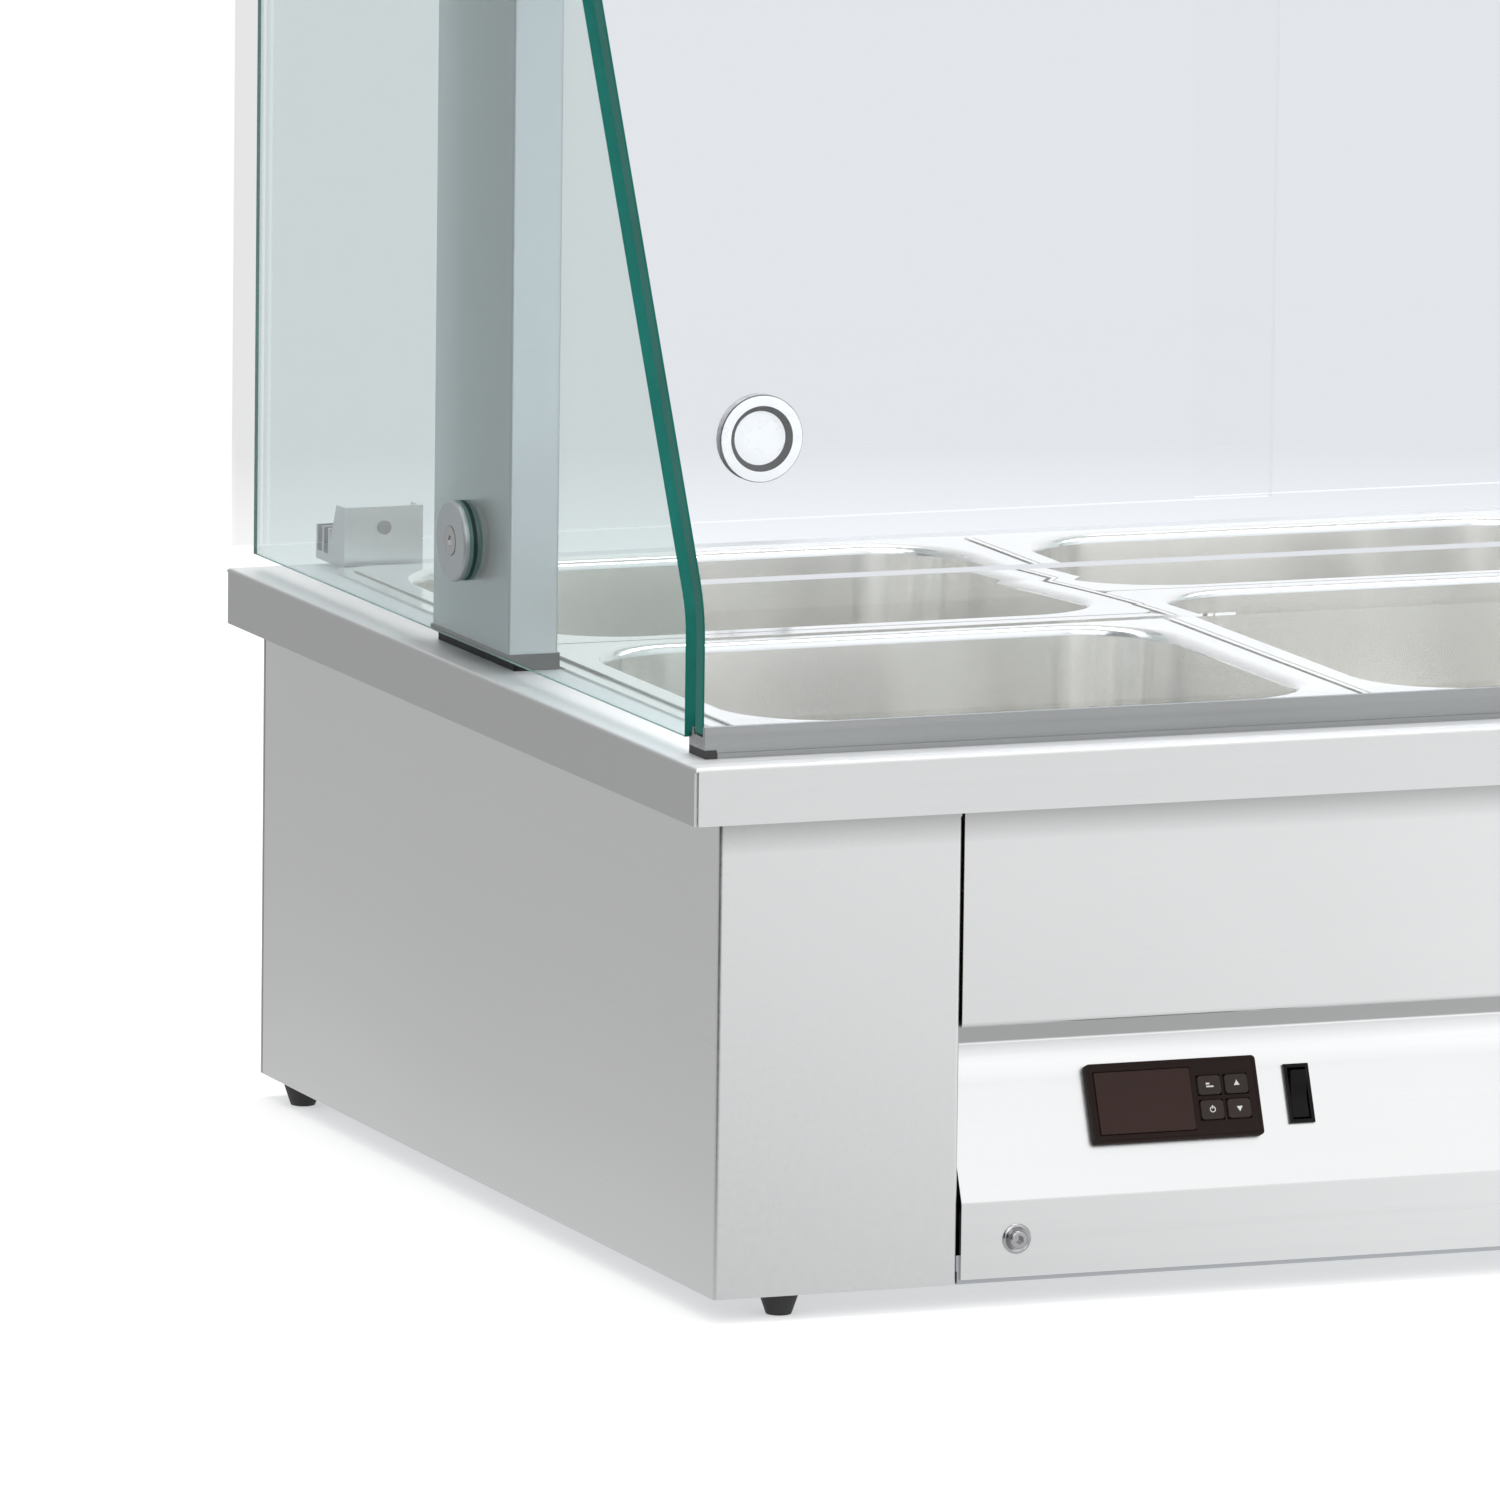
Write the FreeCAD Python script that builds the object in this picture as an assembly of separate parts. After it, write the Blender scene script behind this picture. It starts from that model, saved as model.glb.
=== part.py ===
import FreeCAD, Part
import os
from math import atan2, cos, pi, radians, sin, sqrt, tan

# Heated display bain-marie for a counter: a stainless base with a sloping control panel, a water
# tank with lift-out pans, a bent front glass, side glasses on flat posts, a roof with heat lamps
# and two sliding rear doors. Millimetres, Z up, front towards -Y, origin at the floor under the
# middle of the whole body.

# Overall sizes
base_panel_height = 231.0
foot_height = 12.0
tiny = 0.001
overrun = 5.0
seat_gap = 0.3

# Worktop
worktop_lip_height = 28.0
worktop_sheet = 1.5
worktop_bend = 2.0
lip_return = 13.0
corner_notch = 1.6

# Base panels
panel_sheet = 1.2
panel_bend = 1.0
base_inset = 20.0
end_return_width = 124.0
end_flange = 18.0
back_flange = 22.0
base_plate_rim = 14.0
strip_backing_drop = 5.0
upper_panel_height = 107.0
upper_panel_gap = 1.0
panel_top_flange = 16.0

# Sloping control panel
slope_angle = 22.0
slope_length = 77.0
strip_height = 37.0
strip_ground_gap = 2.2
control_panel_gap = 2.0
control_top_flange = 26.0
panel_screw_inset = 30.5
washer_diameter = 14.6
washer_thickness = 1.2
panel_screw_head = 9.0
panel_screw_head_height = 2.6
panel_screw_shank = 5.0
panel_screw_length = 12.0
panel_screw_nut = 8.0
panel_screw_nut_height = 4.0
panel_screw_socket = 3.0

# Digital controller in the sloping panel
controller_width = 88.0
controller_height = 39.0
controller_left = 216.5
controller_up = 43.5
controller_bezel = 4.0
controller_corner = 2.0
controller_cutout_width = 77.0
controller_cutout_height = 30.0
controller_case_depth = 46.0
controller_case_gap = 0.6
window_width = 50.0
window_height = 31.0
window_offset = 15.5
window_depth = 1.2
window_proud = 0.2
key_width = 12.0
key_height = 9.5
key_pitch_across = 14.0
key_pitch_up = 12.0
key_offset = 25.5
key_proud = 0.8
key_depth = 2.4
key_travel = 0.6
key_gap = 0.3

# Rocker switch in the sloping panel
switch_width = 13.0
switch_height = 29.0
switch_left = 319.5
switch_bezel = 1.6
switch_lap = 0.6
switch_wall = 0.9
switch_case_depth = 22.0
rocker_gap = 0.35
rocker_tilt = 9.0
rocker_depth = 7.0
rocker_proud = 3.0
rocker_heel_share = 0.8

# Feet
foot_top_diameter = 19.0
foot_bottom_diameter = 13.0
front_foot_inset_x = 40.0
front_foot_inset_y = 17.5
rear_foot_inset_x = 12.0
rear_foot_inset_y = 30.0
foot_neck_diameter = 8.0
foot_collar_diameter = 11.0
foot_collar_height = 3.0

# Pans, in the gastronorm sizes; the worktop is as large as the pans and the margins round them
column_width = 325.0
column_depth = 530.0
column_gap = 5.0
column_count = 3
pan_margin_side = 57.5
pan_margin_front = 91.0
pan_margin_back = 29.0
half_share = 0.5
third_share = 1.0 / 3.0
pan_clearance = 1.6
pan_depth = 100.0
pan_sheet = 0.9
pan_flange_width = 10.0
pan_flange_corner = 9.0
pan_rim_radius = 5.0
pan_corner_radius = 48.0
pan_floor_radius = 16.0
pan_taper = 3.0

# Water tank and dividers
tank_depth = 165.0
tank_sheet = 1.2
tank_corner = 12.0
tank_flange_margin = 5.0
tank_ledge = 7.0
divider_height = 12.0
divider_width = 22.0
divider_sheet = 1.5
divider_rib_width = 3.0
divider_rib_height = 1.6
shelf_depth = 12.0
shelf_sheet = 2.0
insulation = 14.0
insulation_gap = 0.5

# Heating elements below the tank
element_diameter = 8.5
element_spread = 170.0
element_end_room = 190.0
element_gap = 0.3
element_tail = 40.0
strap_width = 24.0
strap_sheet = 2.0
strap_overhang = 14.0

# Drain and its tap
drain_inset_y = 60.0
drain_hole = 24.0
drain_flange = 46.0
drain_flange_thickness = 3.0
drain_pipe_outer = 20.0
drain_pipe_inner = 15.0
drain_elbow = 22.0
tap_hex = 27.0
tap_hex_length = 12.0
tap_body = 30.0
tap_body_length = 16.0
tap_spout = 20.5
tap_spout_bore = 14.0
tap_spout_length = 18.0
tap_stem_diameter = 9.0
tap_stem_height = 9.0
lever_length = 58.0
lever_width = 15.0
lever_sheet = 2.5
lever_gap = 0.3
lever_nut_height = 4.0
stem_clearance = 0.05

# Electrical pieces inside the base
device_x = 70.0
device_y = 78.0
relay_width = 45.0
relay_height = 60.0
relay_depth = 52.0
terminal_width = 66.0
terminal_height = 34.0
terminal_depth = 42.0
thermostat_width = 38.0
thermostat_height = 44.0
thermostat_depth = 40.0
device_gap = 12.0
device_shoulder_share = 0.6
probe_diameter = 6.0
probe_length = 40.0
probe_inset = 120.0
gland_x = 70.0
gland_z = 46.0
gland_thread = 20.0
gland_bore = 10.0
gland_hex = 26.0
gland_hex_length = 6.0
gland_dome_length = 18.0
gland_inside = 12.0
gland_dome = 22.0

# Back panel
louvre_rows = 4
louvre_length = 70.0
louvre_height = 5.0
louvre_pitch_x = 94.0
louvre_pitch_z = 16.0
louvre_z = 110.0
louvre_x = 60.0
small_screw_head = 7.0
small_screw_head_height = 1.6
small_screw_shank = 4.0
small_screw_length = 9.0
back_screw_inset = 11.0
back_screw_rise = 32.0

# Front glass and its rail
front_glass_thickness = 10.0
front_glass_inset_y = 28.0
front_glass_inset_x = 14.0
front_glass_seat = 10.5
front_glass_knee = 70.8
front_glass_lean = 27.9
front_glass_bend = 60.0
front_glass_arris = 0.8
front_glass_top = 404.0
rail_lip = 3.0
rail_front_height = 15.0
rail_back_height = 13.0
rail_floor = 10.0
rail_slot_gap = 0.5
rail_heel = 3.0
rail_toe = 0.9
rail_toe_height = 2.6
end_pad_length = 6.0
end_pad_height = 4.0

# Side glasses
side_glass_thickness = 6.0
side_glass_inset = 12.0
side_glass_lift = 7.5
side_glass_front_gap = 8.0
side_glass_rear_inset = 6.0
side_glass_top = 408.0
clamp_hole = 11.0

# Posts and glass clamps
post_width = 26.0
post_depth = 105.0
post_wall = 2.0
post_corner = 1.5
post_inset = 22.0
post_centre_y = 350.0
post_foot_height = 8.0
post_foot_margin = 1.0
clamp_diameter = 40.0
clamp_cap = 3.0
clamp_disc = 2.0
clamp_lower_z = 57.0
clamp_upper_z = 345.0
clamp_cap_edge = 0.8
clamp_screw_diameter = 8.0
clamp_screw_head = 14.0
clamp_screw_head_height = 1.2
clamp_screw_socket = 5.0
clamp_nut = 13.0
clamp_nut_height = 5.0
post_screw_spread = 60.0
post_screw_shank = 8.0
post_screw_head = 14.0
post_screw_head_height = 4.4
post_screw_length = 24.0
post_screw_socket = 5.0
post_plug_height = 24.0

# Rear doors, their pulls and their track
door_thickness = 5.0
door_inset = 4.5
door_overlap = 40.0
door_lift = 10.0
door_stand_off = 1.5
door_pitch = 9.0
door_edge = 0.6
pull_height = 52.0
pull_outer = 45.0
pull_bore = 36.0
pull_cup = 30.0
pull_ring = 1.2
pull_web = 1.2
track_wall = 1.2
track_depth = 20.0
track_top = 2.0
track_ledge = 1.6
track_ledge_height = 1.5
shoe_length = 34.0
shoe_height = 6.0
shoe_gap = 0.3
shoe_neck = 3.4
shoe_inset = 60.0
fork_depth = 12.0
fork_wall = 1.0
guide_inset = 58.5
guide_width = 42.0
guide_height = 31.0
guide_depth = 24.0
guide_top_depth = 12.0
guide_sheet = 2.0
guide_base = 4.5
guide_upstand = 13.0
door_guide_slack = 1.0
guide_screw_z = 20.5

# Roof with heat lamps
roof_height = 420.0
roof_front = 188.0
roof_lip = 28.0
roof_sheet = 1.2
roof_bend = 2.5
channel_wall = 2.0
channel_depth = 15.0
channel_slack = 0.6
channel_flange = 26.0
hood_width = 168.0
hood_drop = 46.0
hood_side_gap = 14.0
hood_return = 12.0
hood_flange = 14.0
lamp_diameter = 10.0
lamp_end_room = 85.0
lamp_pinch = 6.0
lamp_rise = 10.0
holder_length = 18.0
holder_width = 22.0
holder_height = 24.0
holder_gap = 0.3
reflector_width = 110.0
reflector_rise = 22.0
reflector_sheet = 0.8
reflector_crown_share = 0.6
cover_glass = 4.0

# Places worked out from the sizes above
grid_width = column_count * column_width + (column_count - 1) * column_gap
unit_width = grid_width + 2 * pan_margin_side
worktop_depth = pan_margin_front + column_depth + pan_margin_back
tap_reach = tap_hex_length + tap_body_length + tap_spout_length
overall_depth = worktop_depth + tap_reach
left_x = -unit_width / 2
front_y = -overall_depth / 2
back_y = front_y + worktop_depth
deck_z = foot_height + base_panel_height + worktop_lip_height
lip_z = deck_z - worktop_lip_height
base_left = left_x + base_inset
base_front = front_y + base_inset
grid_left = -grid_width / 2
grid_front = front_y + pan_margin_front
grid_back = grid_front + column_depth
tank_left = grid_left + tank_ledge
tank_front = grid_front + tank_ledge
tank_back = grid_back - tank_ledge
tank_floor = deck_z - tank_depth
tank_flange_top = deck_z + tank_sheet
tank_flange_left = left_x + post_inset + post_width + post_foot_margin + seat_gap
roof_top = deck_z + roof_height
roof_under = roof_top - roof_sheet
post_left = left_x + post_inset
post_y = front_y + post_centre_y
door_front = back_y + door_stand_off
rear_door_front = door_front + door_pitch
track_back = rear_door_front + (door_thickness + door_pitch + track_wall) / 2
roof_back = track_back + roof_sheet
element_length = column_depth - element_end_room
lamp_length = column_width - lamp_end_room
fold_z = foot_height + strip_ground_gap + strip_height
control_top_y = base_front + panel_sheet / 2 + slope_length * sin(radians(slope_angle))


def vec(x, y, z):
    return FreeCAD.Vector(x, y, z)


x_axis = vec(1, 0, 0)
y_axis = vec(0, 1, 0)
z_axis = vec(0, 0, 1)


def block(x0, x1, y0, y1, z0, z1):
    return Part.makeBox(x1 - x0, y1 - y0, z1 - z0, vec(x0, y0, z0))


def rod(diameter, start, direction, length):
    return Part.makeCylinder(diameter / 2, length, start, direction)


def fused(shapes):
    return shapes[0].multiFuse(shapes[1:]).removeSplitter()


def mirrored(shape):
    return shape.mirror(vec(0, 0, 0), x_axis)


def pair(shape):
    return [shape, mirrored(shape)]


def upright_edges(shape):
    found = []
    for edge in shape.Edges:
        first, last = edge.Vertexes[0].Point, edge.Vertexes[-1].Point
        if abs(first.x - last.x) < tiny and abs(first.y - last.y) < tiny and abs(first.z - last.z) > tiny:
            found.append(edge)
    return found


def rounded_block(x0, x1, y0, y1, z0, z1, radius):
    solid = block(x0, x1, y0, y1, z0, z1)
    return solid.makeFillet(radius, upright_edges(solid))


def hex_prism(across_flats, start, direction, length):
    radius = across_flats / sqrt(3)
    corners = []
    side = direction.cross(z_axis if abs(direction.z) < 1 - tiny else x_axis).normalize()
    other = direction.cross(side).normalize()
    for index in range(7):
        angle = index * pi / 3
        corners.append(start + side * (radius * cos(angle)) + other * (radius * sin(angle)))
    return Part.Face(Part.makePolygon(corners)).extrude(direction * length)


def on_side(x, points):
    """Points given as (y, z), placed in the upright plane at x"""
    return [vec(x, y, z) for y, z in points]


def side_plate(x0, x1, points):
    """A closed outline in the YZ plane, drawn from x0 to x1"""
    outline = on_side(x0, points)
    return Part.Face(Part.makePolygon(outline + outline[:1])).extrude(vec(x1 - x0, 0, 0))


def bent_outline(points, sheet, bend):
    """Edges of a bent sheet's section, from its middle line as (a, b) pairs; each bend is an arc"""
    middle = bend + sheet / 2
    sides = {1: [], -1: []}
    count = len(points)
    for index in range(count):
        here = points[index]
        if index == 0 or index == count - 1:
            first, last = (here, points[1]) if index == 0 else (points[count - 2], here)
            a, b = last[0] - first[0], last[1] - first[1]
            size = sqrt(a * a + b * b)
            for side in sides:
                sides[side].append([(here[0] - side * b / size * sheet / 2,
                                     here[1] + side * a / size * sheet / 2)])
            continue
        before, after = points[index - 1], points[index + 1]
        angle_in = atan2(here[1] - before[1], here[0] - before[0])
        turn = atan2(after[1] - here[1], after[0] - here[0]) - angle_in
        turn = (turn + pi) % (2 * pi) - pi
        hand = 1 if turn > 0 else -1
        reach = middle * tan(abs(turn) / 2)
        start = (here[0] - reach * cos(angle_in), here[1] - reach * sin(angle_in))
        centre = (start[0] - hand * middle * sin(angle_in), start[1] + hand * middle * cos(angle_in))
        for side in sides:
            radius = middle - side * hand * sheet / 2
            stations = []
            for part in (0, turn / 2, turn):
                facing = angle_in + part - hand * pi / 2
                stations.append((centre[0] + radius * cos(facing), centre[1] + radius * sin(facing)))
            sides[side].append(stations)
    return sides


def bent_face(points, sheet, bend, place):
    """The face of a bent sheet's section; place turns (a, b) into a point in space"""
    sides = bent_outline(points, sheet, bend)
    stations = sides[1] + [list(reversed(group)) for group in reversed(sides[-1])]
    edges = []
    previous = place(*stations[-1][-1])
    for group in stations:
        first = place(*group[0])
        edges.append(Part.makeLine(previous, first))
        if len(group) > 1:
            edges.append(Part.Arc(first, place(*group[1]), place(*group[2])).toShape())
        previous = place(*group[-1])
    return Part.Face(Part.Wire(edges))


def bent_along_x(points, sheet, bend, x0, x1):
    """A sheet bent about X, its middle line given as (y, z)"""
    return bent_face(points, sheet, bend, lambda y, z: vec(x0, y, z)).extrude(vec(x1 - x0, 0, 0))


def bent_along_z(points, sheet, bend, z0, z1):
    """A sheet bent about Z, its middle line given as (x, y)"""
    return bent_face(points, sheet, bend, lambda x, y: vec(x, y, z0)).extrude(vec(0, 0, z1 - z0))


saved_nodes = []


def save(name, shapes):
    solids = []
    for shape in shapes if isinstance(shapes, list) else [shapes]:
        solids.extend(shape.Solids)
    for solid in solids:
        if not solid.isValid():
            print("not valid:", name)
    Part.makeCompound(solids).exportStep("parts/%s.step" % name)
    saved_nodes.append(name)


def make_worktop():
    """Tray with turned-down lips, an opening for the tank and open corners between the lips"""
    solid = block(left_x, -left_x, front_y, back_y, lip_z, deck_z)
    rim = [edge for edge in solid.Edges if edge.BoundBox.ZMin > deck_z - tiny]
    solid = solid.makeFillet(worktop_bend, rim)
    inner = block(left_x + worktop_sheet, -left_x - worktop_sheet, front_y + worktop_sheet,
                  back_y - worktop_sheet, lip_z + worktop_sheet, deck_z - worktop_sheet)
    mouth = block(left_x + lip_return, -left_x - lip_return, front_y + lip_return, back_y - worktop_sheet,
                  lip_z - overrun, lip_z + overrun)
    opening = block(tank_left, -tank_left, tank_front, tank_back, deck_z - overrun, deck_z + overrun)
    cuts = [inner, mouth, opening]
    for y0, y1 in ((front_y - overrun, front_y + corner_notch), (back_y - corner_notch, back_y + overrun)):
        notch = block(left_x - overrun, left_x + corner_notch, y0, y1, lip_z - overrun,
                      deck_z - worktop_bend)
        cuts.extend(pair(notch))
    for x, y in post_screw_places():
        cuts.append(rod(post_screw_shank + 2 * seat_gap, vec(x, y, deck_z - overrun), z_axis, 2 * overrun))
    save("worktop", solid.cut(fused(cuts)))


def post_screw_places():
    places = []
    for side in (1, -1):
        for step in (1, -1):
            places.append((side * (post_left + post_width / 2), post_y + step * post_screw_spread / 2))
    return places


def make_end_panels():
    """Side walls that wrap round the front corners, turn in at the back and carry the worktop"""
    half = panel_sheet / 2
    side = base_left + half
    back = back_y - panel_sheet - half
    front = base_front + half
    column = base_left + end_return_width - half
    top = deck_z - worktop_sheet
    points = [(base_left + back_flange, back), (side, back), (side, front), (column, front),
              (column, front + end_flange)]
    wall = bent_along_z(points, panel_sheet, panel_bend, foot_height, lip_z)
    rise = block(base_left, base_left + panel_sheet, base_front + worktop_depth / 4, post_y - post_depth / 2,
                 lip_z - overrun, top)
    rest = block(base_left, base_left + panel_top_flange, base_front + worktop_depth / 4,
                 post_y - post_depth / 2,
                 top - panel_sheet, top)
    front_rise = block(base_left + panel_top_flange, column, base_front, base_front + panel_sheet,
                       lip_z - overrun, top)
    front_rest = block(base_left + panel_top_flange, column, base_front, base_front + panel_top_flange,
                       top - panel_sheet, top)
    panel = fused([wall, rise, rest, front_rise, front_rest])
    for x, z in back_screw_places():
        panel = panel.cut(rod(small_screw_shank + seat_gap, vec(x, back - overrun, z), y_axis, 2 * overrun))
    save("end_panels", pair(panel))


def make_upper_front_panel():
    """Plain panel below the worktop; its lower edge turns back to the control panel's flange"""
    half = panel_sheet / 2
    x0 = base_left + end_return_width + upper_panel_gap
    face = base_front + half
    bottom = lip_z - upper_panel_height + half
    top = deck_z - worktop_sheet - half
    points = [(face + panel_top_flange, top), (face, top), (face, bottom), (control_top_y - half, bottom)]
    save("upper_front_panel", bent_along_x(points, panel_sheet, panel_bend, x0, -x0))


def slope_point(x, along, out=0):
    """A point on the control panel: along is up the slope from the fold, out is in front of it"""
    lean = radians(slope_angle)
    y = base_front + along * sin(lean) - out * cos(lean)
    return vec(x, y, fold_z + along * cos(lean) + out * sin(lean))


def on_slope(shape):
    """Turns a shape drawn with X across, Y outwards (negative) and Z up the slope onto the panel"""
    copy = shape.copy()
    copy.rotate(vec(0, 0, 0), x_axis, -slope_angle)
    copy.translate(vec(0, base_front, fold_z))
    return copy


def make_control_panel():
    """Lower strip and sloping face in one sheet, with a flange that rises behind the upper panel"""
    half = panel_sheet / 2
    x0 = base_left + end_return_width + control_panel_gap
    lean = radians(slope_angle)
    shift = -half * tan(lean / 2)
    face = base_front + half
    low = foot_height + strip_ground_gap
    top_z = fold_z + slope_length * cos(lean)
    points = [(face, low), (face, fold_z + shift), (control_top_y, top_z + shift),
              (control_top_y, top_z + control_top_flange)]
    sheet = bent_along_x(points, panel_sheet, panel_bend, x0, -x0)
    cuts = [on_slope(controller_block(controller_cutout_width, controller_cutout_height, overrun)),
            on_slope(switch_block(switch_width - 2 * switch_lap, switch_height - 2 * switch_lap, overrun))]
    for x, z in panel_screw_places():
        cuts.append(rod(panel_screw_shank + 2 * seat_gap, vec(x, base_front - overrun, z), y_axis,
                        2 * overrun))
    save("control_panel", sheet.cut(fused(cuts)))


def panel_screw_places():
    z = foot_height + strip_ground_gap + strip_height / 2
    x = base_left + end_return_width + panel_screw_inset
    return [(x, z), (-x, z)]


def make_panel_screws():
    """Socket screws with fixed washers, and their nuts behind the strip's backing"""
    screws = []
    for x, z in panel_screw_places():
        start = vec(x, base_front, z)
        washer = rod(washer_diameter, start, -y_axis, washer_thickness)
        head_at = vec(x, base_front - washer_thickness, z)
        head = rod(panel_screw_head, head_at, -y_axis, panel_screw_head_height)
        tip = vec(x, head_at.y - panel_screw_head_height, z)
        outer = [edge for edge in head.Edges if edge.BoundBox.YMax < tip.y + tiny]
        head = head.makeFillet(panel_screw_head_height / 2, outer)
        socket = hex_prism(panel_screw_socket, tip, y_axis, panel_screw_head_height * half_share)
        shank = rod(panel_screw_shank, start, y_axis, panel_screw_length)
        nut = hex_prism(panel_screw_nut, vec(x, base_front + 2 * panel_sheet, z), y_axis,
                        panel_screw_nut_height)
        screws.append(fused([washer, head, shank, nut]).cut(socket))
    save("panel_screws", screws)


def controller_block(width, height, out):
    """A block through the sloping panel at the controller's place, before it is turned"""
    middle = left_x + controller_left + controller_width / 2
    low = controller_up - height / 2
    return block(middle - width / 2, middle + width / 2, -out, out, low, low + height)


def switch_block(width, height, out):
    middle = left_x + switch_left + switch_width / 2
    low = controller_up - height / 2
    return block(middle - width / 2, middle + width / 2, -out, out, low, low + height)


def depth_edges(shape):
    """Edges that run straight through a block along Y"""
    found = []
    for edge in shape.Edges:
        box = edge.BoundBox
        if box.XLength < tiny and box.ZLength < tiny:
            found.append(edge)
    return found


def key_places():
    middle = left_x + controller_left + controller_width / 2 + key_offset
    places = []
    sides = (("key_set", -1, 1), ("key_up", 1, 1), ("key_standby", -1, -1), ("key_down", 1, -1))
    for name, across, up in sides:
        places.append((name, middle + across * key_pitch_across / 2, controller_up + up * key_pitch_up / 2))
    return places


def make_controller():
    middle = left_x + controller_left + controller_width / 2
    low = controller_up - controller_height / 2
    bezel = block(middle - controller_width / 2, middle + controller_width / 2, -controller_bezel, 0,
                  low, low + controller_height)
    bezel = bezel.makeFillet(controller_corner, depth_edges(bezel))
    front = [edge for edge in bezel.Edges if edge.BoundBox.YMax < -controller_bezel + tiny]
    bezel = bezel.makeFillet(controller_corner * third_share, front)
    case_width = controller_cutout_width - 2 * controller_case_gap
    case_height = controller_cutout_height - 2 * controller_case_gap
    case = block(middle - case_width / 2, middle + case_width / 2, -controller_bezel, controller_case_depth,
                 controller_up - case_height / 2, controller_up + case_height / 2)
    window_middle = middle - window_offset
    pocket = block(window_middle - window_width / 2, window_middle + window_width / 2,
                   -controller_bezel - overrun, -controller_bezel + window_depth,
                   controller_up - window_height / 2, controller_up + window_height / 2)
    cuts = [pocket]
    for name, x, up in key_places():
        well = block(x - key_width / 2 - key_gap, x + key_width / 2 + key_gap, -controller_bezel - overrun,
                     -controller_bezel + key_depth + key_travel, up - key_height / 2 - key_gap,
                     up + key_height / 2 + key_gap)
        cuts.append(well)
        key = block(x - key_width / 2, x + key_width / 2, -controller_bezel - key_proud,
                    -controller_bezel + key_depth - key_gap, up - key_height / 2, up + key_height / 2)
        key = key.makeFillet(controller_corner * half_share, depth_edges(key))
        save(name, on_slope(key))
    save("controller_case", on_slope(fused([bezel, case]).cut(fused(cuts))))
    window = block(window_middle - window_width / 2 + key_gap, window_middle + window_width / 2 - key_gap,
                   -controller_bezel - window_proud, -controller_bezel + window_depth,
                   controller_up - window_height / 2 + key_gap, controller_up + window_height / 2 - key_gap)
    save("controller_window", on_slope(window))


def make_switch():
    middle = left_x + switch_left + switch_width / 2
    frame = block(middle - switch_width / 2, middle + switch_width / 2, -switch_bezel, 0,
                  controller_up - switch_height / 2, controller_up + switch_height / 2)
    inset = switch_lap + seat_gap
    case = block(middle - switch_width / 2 + inset, middle + switch_width / 2 - inset, -switch_bezel,
                 switch_case_depth, controller_up - switch_height / 2 + inset,
                 controller_up + switch_height / 2 - inset)
    wall = inset + switch_wall
    hollow_depth = rocker_depth + rocker_gap + rocker_proud
    hollow = block(middle - switch_width / 2 + wall, middle + switch_width / 2 - wall, -overrun,
                   hollow_depth, controller_up - switch_height / 2 + wall,
                   controller_up + switch_height / 2 - wall)
    save("switch_frame", on_slope(fused([frame, case]).cut(hollow)))
    half_width = switch_width / 2 - wall - rocker_gap
    half_height = switch_height / 2 - wall - rocker_gap - rocker_proud / 4
    drop = half_height * tan(radians(rocker_tilt))
    heel_y, heel_z = rocker_depth * half_share, half_height * rocker_heel_share
    outline = [(heel_y, -heel_z), (-rocker_proud, -half_height), (-rocker_proud + drop, 0),
               (-rocker_proud, half_height), (heel_y, heel_z)]
    rocker = side_plate(middle - half_width, middle + half_width,
                        [(y, controller_up + z) for y, z in outline])
    rocker.rotate(vec(middle, 0, controller_up), x_axis, rocker_tilt)
    save("switch_rocker", on_slope(rocker))
    pivot = slope_point(middle, controller_up)
    print("rocker pivot", round(pivot.x, 3), round(pivot.y, 3), round(pivot.z, 3))


def foot_places():
    front_x, rear_x = base_left + front_foot_inset_x, base_left + rear_foot_inset_x
    front, rear = base_front + front_foot_inset_y, back_y - rear_foot_inset_y
    return [(front_x, front), (-front_x, front), (rear_x, rear), (-rear_x, rear)]


def make_base_plate():
    """Shallow tray that closes the base, carries the feet and backs the control panel's strip"""
    play = panel_bend * half_share
    x0 = base_left + panel_sheet + play
    y0 = base_front + panel_sheet
    y1 = back_y - 2 * panel_sheet - play
    floor = foot_height + panel_sheet
    tray = block(x0, -x0, y0, y1, foot_height, foot_height + base_plate_rim)
    tray = tray.cut(block(x0 + panel_sheet, -x0 - panel_sheet, y0 + panel_sheet, y1 - panel_sheet, floor,
                          foot_height + base_plate_rim + overrun))
    backing_end = base_left + end_return_width + control_panel_gap
    backing = block(backing_end, -backing_end, y0, y0 + panel_sheet, foot_height,
                    fold_z - strip_backing_drop)
    column = base_left + end_return_width
    corner_gap = block(x0 - overrun, column + tiny, y0 - overrun, y0 + end_flange + overrun, floor,
                       foot_height + base_plate_rim + overrun)
    flange_gap = block(column - panel_sheet - play, column + play, y0 - overrun,
                       y0 + end_flange + play, foot_height - overrun, floor + overrun)
    front_gap = block(x0 - overrun, column + play, y0 - overrun, y0 + play, foot_height - overrun,
                      floor + overrun)
    cuts = pair(corner_gap) + pair(flange_gap) + pair(front_gap)
    for x, y in foot_places():
        cuts.append(rod(foot_neck_diameter + seat_gap, vec(x, y, 0), z_axis, floor + overrun))
    for x, z in panel_screw_places():
        cuts.append(rod(panel_screw_shank + seat_gap, vec(x, base_front, z), y_axis, 2 * overrun))
    save("base_plate", fused([tray, backing]).cut(fused(cuts)))


def make_feet():
    """Rubber feet pushed into the base plate, held by a collar above it"""
    feet = []
    for x, y in foot_places():
        foot = Part.makeCone(foot_bottom_diameter / 2, foot_top_diameter / 2, foot_height, vec(x, y, 0),
                             z_axis)
        neck = rod(foot_neck_diameter, vec(x, y, 0), z_axis, foot_height + panel_sheet + foot_collar_height)
        collar = Part.makeCone(foot_collar_diameter / 2, foot_neck_diameter / 2, foot_collar_height,
                               vec(x, y, foot_height + panel_sheet), z_axis)
        feet.append(fused([foot, neck, collar]))
    save("feet", feet)


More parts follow.
